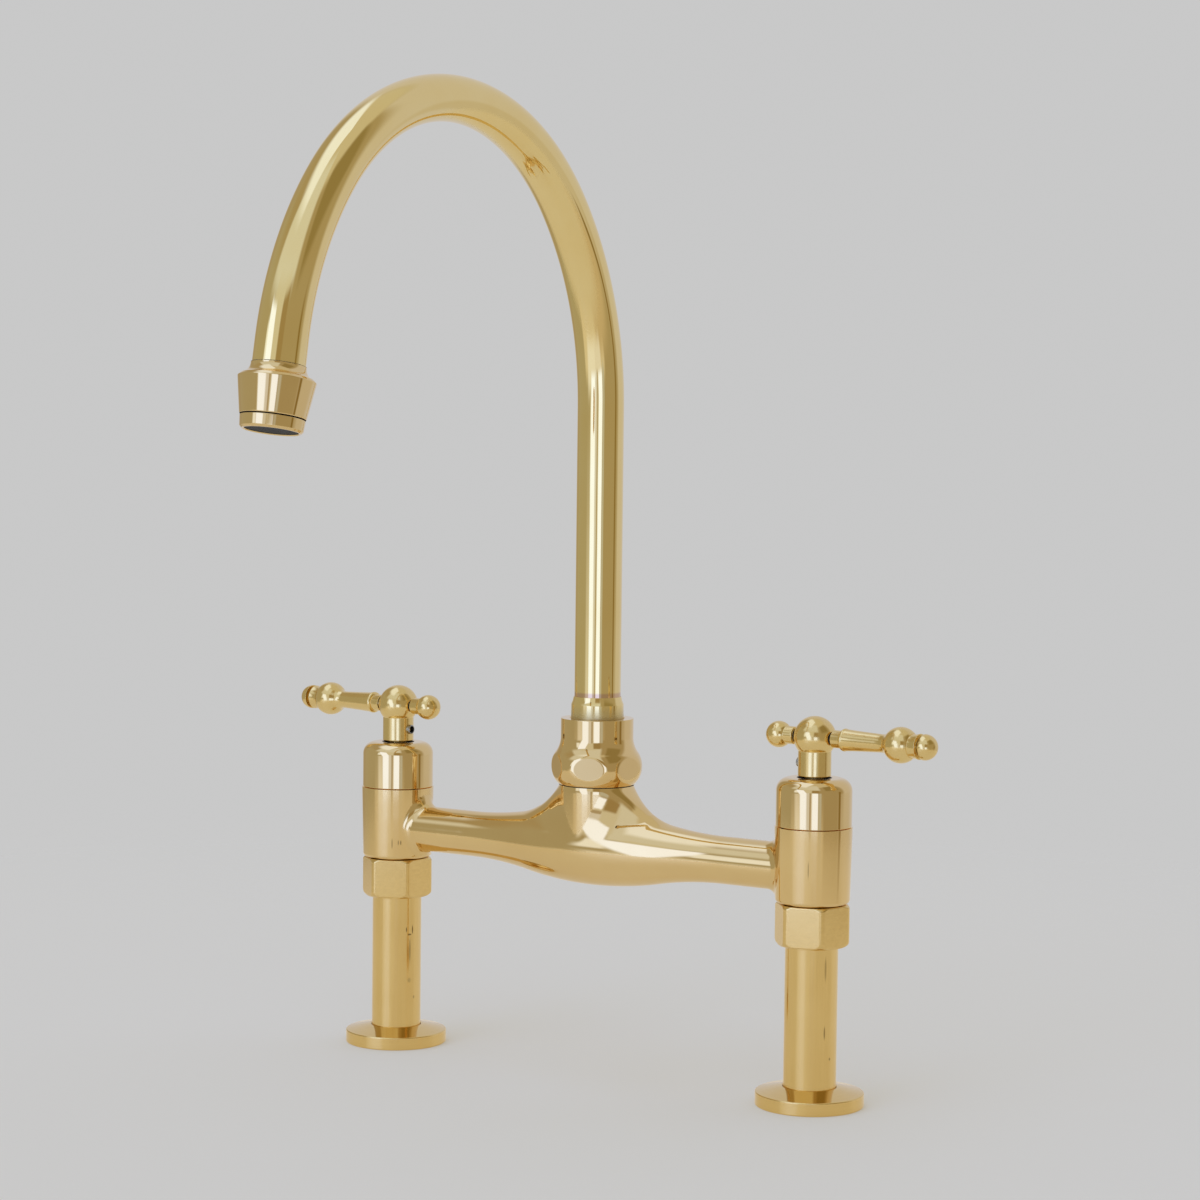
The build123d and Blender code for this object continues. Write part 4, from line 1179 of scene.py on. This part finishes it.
def set_true_normals(mesh):
    """Give the skin the exact normals of its formula, and leave the turned rims as they are."""
    spots = np.empty(len(mesh.vertices) * 3)
    mesh.vertices.foreach_get("co", spots)
    spots = spots.reshape(-1, 3) / MM
    side, height = np.abs(spots[:, 0]), spots[:, 2]
    on_hub = (side < belly_reach) & (height < hub_top_z - rim_band_mm)
    below_rim = (height < body_top_z - rim_band_mm) | on_hub
    foot = (side > belly_reach) & (height < body_base_z + body_round_mm - 0.01)
    exact = (np.abs(casting_distance(spots)) < skin_error_mm) & below_rim & ~foot
    normal = unit(slopes(casting_distance, spots))
    owner = np.empty(len(mesh.loops), int)
    mesh.loops.foreach_get("vertex_index", owner)
    plain = np.empty(len(mesh.loops) * 3)
    mesh.corner_normals.foreach_get("vector", plain)
    mixed = np.where(exact[owner][:, None], normal[owner], plain.reshape(-1, 3))
    mesh.normals_split_custom_set([tuple(n) for n in mixed])


make_casting()

# %% [markdown]
# ## Gooseneck
# The spout is a three-quarter-inch tube bent over a former: a straight riser, a three-centred arch and a
# short straight tail. Bending flattens a tube a little. Geometry Nodes sweep a circle along the path
# and squeeze the section across the bend, more and more from the spring of the arch to its crown.

# %% The tube's path
tube_radius = 9.525
arch_side_radius, arch_side_turn = 125.0, 40.0
arch_top_radius, arch_top_turn = 96.4, 100.0
arch_end_turn = 30.0
tail_length = 8.6
socket_length = 3.5
tube_base_z = low_mm("spout_tube").z
arch_base_z = 272.9


def tube_path(step=1.5):
    """Points (forward, height) along the tube, forward counted towards the spout's mouth."""
    points = [(0.0, tube_base_z + i * (arch_base_z - tube_base_z) / 40) for i in range(41)]
    heading = 90.0
    for radius, turn in ((arch_side_radius, arch_side_turn), (arch_top_radius, arch_top_turn),
                         (arch_side_radius, arch_end_turn)):
        x, z = points[-1]
        centre = (x + radius * sin(radians(heading)), z - radius * cos(radians(heading)))
        points += arc(centre, radius, heading + 90, heading + 90 - turn, step)[1:]
        heading -= turn
    way = Vector((cos(radians(heading)), sin(radians(heading))))
    start = Vector(points[-1])
    points += [tuple(start + way * (tail_length + socket_length) * i / 6) for i in range(1, 7)]
    return points, start + way * tail_length, way


path_points, braze_point, outlet_way = tube_path()
print("spout reaches", round(braze_point.x, 1), "mm and is brazed at", round(braze_point.y, 1), "mm")


# %% Sweeping the tube
arch_rise = 60.0
flattening = 0.065
tube_steps = 128


def sweep_tree():
    """Geometry Nodes: a circle along the path, flattened across the bend."""
    tree = bpy.data.node_groups.new("gooseneck_sweep", "GeometryNodeTree")
    face = tree.interface
    face.new_socket("Geometry", in_out="INPUT", socket_type="NodeSocketGeometry")
    for name, value in (("Tube Radius", tube_radius * MM), ("Arch Base", arch_base_z * MM),
                        ("Arch Rise", arch_rise * MM), ("Flattening", flattening)):
        face.new_socket(name, in_out="INPUT", socket_type="NodeSocketFloat").default_value = value
    face.new_socket("Finish", in_out="INPUT", socket_type="NodeSocketMaterial")
    face.new_socket("Geometry", in_out="OUTPUT", socket_type="NodeSocketGeometry")
    source = add(tree, "NodeGroupInput").outputs
    here = add(tree, "GeometryNodeInputPosition").outputs[0]
    on_path = add(tree, "GeometryNodeCaptureAttribute")
    on_path.capture_items.new("VECTOR", "Centre")
    on_path.capture_items.new("VECTOR", "Heading")
    tangent = add(tree, "GeometryNodeInputTangent").outputs[0]
    plug(tree, on_path, {0: source["Geometry"], "Centre": here, "Heading": tangent})
    centre, heading = on_path.outputs["Centre"], on_path.outputs["Heading"]
    circle = add(tree, "GeometryNodeCurvePrimitiveCircle", {"Radius": source["Tube Radius"]},
                 Resolution=tube_steps)
    swept = add(tree, "GeometryNodeCurveToMesh",
                {"Curve": on_path.outputs[0], "Profile Curve": circle.outputs[0]}, Fill_Caps=True)
    across = vector_maths(tree, "CROSS_PRODUCT", heading, (1, 0, 0))
    depth = vector_maths(tree, "DOT_PRODUCT", vector_maths(tree, "SUBTRACT", here, centre), across)
    height = add(tree, "ShaderNodeSeparateXYZ", {0: centre}).outputs["Z"]
    arch_end = maths(tree, "ADD", source["Arch Base"], source["Arch Rise"])
    amount = ramp(tree, height, source["Arch Base"], arch_end, 0.0, source["Flattening"])
    press = maths(tree, "MULTIPLY", maths(tree, "MULTIPLY", depth, amount), -1.0)
    inward = add(tree, "ShaderNodeVectorMath", {0: across, "Scale": press}, operation="SCALE").outputs[0]
    squeezed = add(tree, "GeometryNodeSetPosition", {"Geometry": swept.outputs[0], "Offset": inward})
    smooth = add(tree, "GeometryNodeSetShadeSmooth", {0: squeezed.outputs[0]})
    painted = add(tree, "GeometryNodeSetMaterial",
                  {"Geometry": smooth.outputs[0], "Material": source["Finish"]})
    add(tree, "NodeGroupOutput", {0: painted.outputs[0]})
    return tree


def baked(host, name):
    """Turn what a modifier makes of host into a plain mesh object, and drop host."""
    evaluated = host.evaluated_get(bpy.context.evaluated_depsgraph_get())
    mesh = bpy.data.meshes.new_from_object(evaluated)
    mesh.name = name
    piece = bpy.data.objects.new(name, mesh)
    bpy.context.scene.collection.objects.link(piece)
    bpy.data.objects.remove(host)
    return piece


def set_inputs(modifier, **values):
    """Set a Geometry Nodes modifier's inputs by their sockets' identifiers."""
    for item in modifier.node_group.interface.items_tree:
        key = item.name.replace(" ", "_")
        if item.in_out == "INPUT" and key in values:
            modifier[item.identifier] = values[key]


def make_tube():
    curve = bpy.data.curves.new("gooseneck_path", "CURVE")
    curve.dimensions = "3D"
    spline = curve.splines.new("POLY")
    spline.points.add(len(path_points) - 1)
    for point, (forward, height) in zip(spline.points, path_points):
        point.co = (0, -forward * MM, height * MM, 1)
    host = bpy.data.objects.new("gooseneck_path", curve)
    bpy.context.scene.collection.objects.link(host)
    modifier = host.modifiers.new("sweep", "NODES")
    modifier.node_group = sweep_tree()
    set_inputs(modifier, Finish=tube_finish)
    bpy.context.view_layer.update()
    piece = baked(host, "gooseneck_skin")
    dress(piece, tube_finish, "spout", "spout_tube")


make_tube()

# %% [markdown]
# ## Sleeve and outlet
# At its foot the tube is brazed into a turned sleeve. At its mouth it carries a collar: a thin lip, a
# hollow cove, a sharp shoulder and a long taper, with the ring of the aerator below it. Heights in the
# sleeve are measured from its top down, and in the outlet from the braze to the mouth.

# %% Sleeve
braze_bore = tube_radius + 0.035
sleeve_bore, sleeve_plug, sleeve_collar, sleeve_radius = 6.5, 9.42, 12.6, 10.8
sleeve_foot, sleeve_collar_height, sleeve_socket = 20.8, 2.8, 11.2
sleeve_cone = [(sleeve_radius, 3.2), (10.18, 1.7), (9.8, 0), (braze_bore, 0)]


def make_sleeve():
    base, top = low_mm("spout_tail").z, high_mm("spout_tail").z
    collar_top, floor = top - sleeve_foot, top - sleeve_socket
    collar_base = collar_top - sleeve_collar_height
    outline = [(sleeve_bore, base), (sleeve_plug, base), (sleeve_plug, collar_base),
               (sleeve_collar, collar_base), (sleeve_collar, collar_top), (sleeve_radius, collar_top)]
    outline += [(radius, top - drop) for radius, drop in sleeve_cone]
    outline += [(braze_bore, floor), (sleeve_bore, floor), (sleeve_bore, base)]
    # the sleeve gets painted shade where it sits inside the spout nut
    turned_piece("spout_tail", outline, tube_finish, "spout", "spout_tail", Matrix(), 192, 0.3,
                 [(base - 1, high_mm("spout_nut").z - 0.2, 20)])


make_sleeve()

# %% Outlet
outlet_z = Vector((0, -outlet_way.x, outlet_way.y))
outlet_x = Vector((1, 0, 0))
outlet_place = Matrix((outlet_x, outlet_z.cross(outlet_x), outlet_z)).transposed().to_4x4()
outlet_place.translation = Vector((0, -braze_point.x, braze_point.y))
collar_lip, collar_lip_end = 9.81, 0.3
collar_cove, collar_shoulder, collar_foot = (12.9, 4.3), (13.9, 5.3), (11.8, 18.5)
collar_thread, collar_bore, collar_step = 10.6, 8.4, 9.0
ring_base, ring_ledge, ring_mouth = 10.4, 18.8, 23.5
ring_bore, ring_thread, ring_top = 9.55, 10.45, 11.6
insert_base, insert_face, insert_radius, insert_rim, insert_dish = 12.0, 23.1, 9.5, 1.0, 0.25


def make_outlet():
    foot = collar_foot[1]
    cove = hollow_arc(collar_lip, collar_lip_end, *collar_cove)
    outline = [(braze_bore, 0), (collar_lip, 0)] + cove + [collar_shoulder, collar_foot]
    outline += [(collar_thread, foot), (collar_thread, collar_step), (collar_bore, collar_step),
                (collar_bore, socket_length), (braze_bore, socket_length), (braze_bore, 0)]
    # painted shade in the seam over the aerator ring, and a thin painted dark line on the lip at the braze
    turned_piece("outlet_collar", outline, turned_mirror, "spout", "outlet_collar", outlet_place, 192, 0.45,
                 [(foot - 0.2, foot + 0.1, 11.6), (-0.1, 0.12, collar_lip)])


def make_aerator_ring():
    mouth = ring_mouth
    outline = [(ring_bore, ring_base), (ring_thread, ring_base), (ring_thread, ring_ledge),
               (ring_top, ring_ledge), (11.25, mouth - 0.8), (10.5, mouth), (9.9, mouth),
               (ring_bore, mouth - 0.35), (ring_bore, ring_base)]
    # painted shade on the threads and inside the mouth
    turned_piece("aerator_ring", outline, turned_mirror, "spout", "aerator_ring", outlet_place, 192, 0.3,
                 [(10, ring_ledge + 0.15, 11.5), (10, mouth - 0.3, 9.6)])


def make_aerator_insert():
    outline = [(0, insert_base), (insert_radius, insert_base), (insert_radius, insert_face),
               (insert_radius - insert_rim, insert_face), (0, insert_face - insert_dish)]
    turned_piece("aerator_insert", outline, acetal, "spout", "aerator_insert", outlet_place, 96, 0.3)


make_outlet()
make_aerator_ring()
make_aerator_insert()

# %% [markdown]
# ## Handles
# Each handle is a few small turnings screwed together: a ball on a round neck, a lever whose shaft swells
# into a bulb, a flat-backed knob at its end, and a short knob on the far side. A set screw in the neck
# holds it on the spindle. The lever's angle is read from the frame: from the ball's centre to the middle
# of the end knob. Reaches are measured along the lever, from the ball's centre.

# %% Handle places
lever_z = (low_mm("left_lever_finial").z + high_mm("left_lever_finial").z) / 2


def lever_turn(side):
    """Where the lever points, in radians from +X."""
    tip = (low_mm(f"{side}_lever_finial") + high_mm(f"{side}_lever_finial")) / 2
    return atan2(tip.y, tip.x - pillar_x[side])


def lever_place(side, turn=0.0):
    """Matrix that lays a piece spun about Z along the lever, from the ball's centre outwards."""
    upright = Matrix.Translation((pillar_x[side], 0, lever_z))
    return upright @ Matrix.Rotation(lever_turn(side) + turn, 4, "Z") @ Matrix.Rotation(pi / 2, 4, "Y")


def on_ball(radius, reach, start_radius, end_radius):
    """Arc over a ball on the spin axis, between two radii, over its widest point."""
    start, end = -degrees(acos(start_radius / radius)), degrees(acos(end_radius / radius))
    return arc((0, reach), radius, start, end, 3.0)


print("the levers point to", {side: round(degrees(lever_turn(side)), 1) for side in SIDES}, "degrees")

# %% Turnings of a handle
ball_radius, neck_radius = 8.4, 6.55
seat, groove_end, lever_neck_end = 7.6, 9.1, 13.0
tenon_start, tenon_radius, groove_radius, lever_neck_radius = 0.9, 2.5, 2.7, 3.5
tenon = [(0, tenon_start), (tenon_radius, tenon_start), (tenon_radius, seat), (groove_radius, seat),
         (groove_radius, groove_end), (lever_neck_radius, groove_end)]
bulb_radius, bulb_reach, bulb_flare = 7.05, 39.5, 5.0
bead_radius, bead_length = 4.45, 1.8
shaft_radius, waist_radius, shaft_bow = 4.3, 3.55, 0.75
collar_start, collar_radius = 44.6, 4.6
rim_radius, lever_end = 5.05, 48.3
knob_radius, knob_reach, knob_back = 5.05, 50.3, 50.0
knob_tenon, knob_neck, knob_tenon_length = 2.0, 3.3, 4
stub_radius, stub_reach = 5.25, 17.0
screw_radius, screw_rise, screw_tip, screw_head = 2.0, 5.0, 4.1, 1.2
screw_break, key_radius, key_depth = 0.3, 1.45, 1.5


def make_hub(side):
    node = f"{side}_handle_hub"
    base = low_mm(node).z
    outline = [(0, base), (neck_radius, base)] + on_ball(ball_radius, lever_z, neck_radius, 0)
    turned_piece(node, outline, soft_mirror, f"{side}_handle", node, at_pillar(side), 160, 0.4)


def make_lever(side):
    hollow = waist_radius + bulb_flare
    run = sqrt((bulb_radius + bulb_flare) ** 2 - hollow ** 2)
    flare = arc((hollow, bulb_reach - run), bulb_flare, 180, 180 - degrees(atan2(run, hollow)), 5)
    bead_end = lever_neck_end + bead_length
    bead = arc_through((lever_neck_radius, lever_neck_end), (bead_radius, lever_neck_end + bead_length / 2),
                       (shaft_radius, bead_end), 8)
    taper, length = shaft_radius - waist_radius, bulb_reach - run - bead_end
    shaft = [(shaft_radius - taper * (i / 10) ** shaft_bow, bead_end + length * i / 10) for i in range(1, 10)]
    bulb = on_ball(bulb_radius, bulb_reach, hollow * bulb_radius / (bulb_radius + bulb_flare),
                   sqrt(bulb_radius ** 2 - (collar_start - bulb_reach) ** 2))
    collar = hollow_arc(collar_radius, collar_start, rim_radius, lever_end)
    outline = tenon + bead + shaft + flare + bulb[1:] + collar + [(0, lever_end)]
    # painted shade in the groove by the ball, and on the lever's end face by the knob
    turned_piece(f"{side}_lever", outline, soft_mirror, f"{side}_handle", f"{side}_lever_bar",
                 lever_place(side), 144, EDGE_MM,
                 [(0, groove_end - 0.15, 3.3), (lever_end - 0.02, lever_end + 1, 4.6)])


def make_finial(side):
    back = degrees(asin((knob_back - knob_reach) / knob_radius))
    outline = [(0, lever_end - knob_tenon_length), (knob_tenon, lever_end - knob_tenon_length),
               (knob_tenon, lever_end), (knob_neck, lever_end), (knob_neck, knob_back)]
    outline += arc((0, knob_reach), knob_radius, back, 90, 3.0)
    turned_piece(f"{side}_finial", outline, soft_mirror, f"{side}_handle", f"{side}_lever_finial",
                 lever_place(side), 128, 0.3)


def make_stub(side):
    outline = tenon + on_ball(stub_radius, stub_reach, lever_neck_radius, 0)
    # painted shade in the groove by the ball
    turned_piece(f"{side}_stub", outline, soft_mirror, f"{side}_handle", f"{side}_stub_knob",
                 lever_place(side, pi), 128, 0.35, [(0, groove_end - 0.1, 3.2)])


def make_grub_screw(side):
    node, head = f"{side}_grub_screw", neck_radius + screw_head
    outline = [(0, screw_tip), (screw_radius, screw_tip), (screw_radius, head - screw_break),
               (screw_radius - screw_break, head), (key_radius, head), (key_radius, head - key_depth),
               (0, head - key_depth)]
    drop = lever_z - low_mm(f"{side}_handle_hub").z - screw_rise
    place = lever_place(side, pi) @ Matrix.Translation((drop, 0, 0))
    # painted shade in the key socket
    turned_piece(node, outline, steel, f"{side}_handle", node, place, 64, 0.12,
                 [(screw_tip, head - 0.08, key_radius + 0.02)])


for side in SIDES:
    for make in (make_hub, make_lever, make_finial, make_stub, make_grub_screw):
        make(side)


# %% View settings
bpy.context.scene.view_settings.view_transform = "Standard"
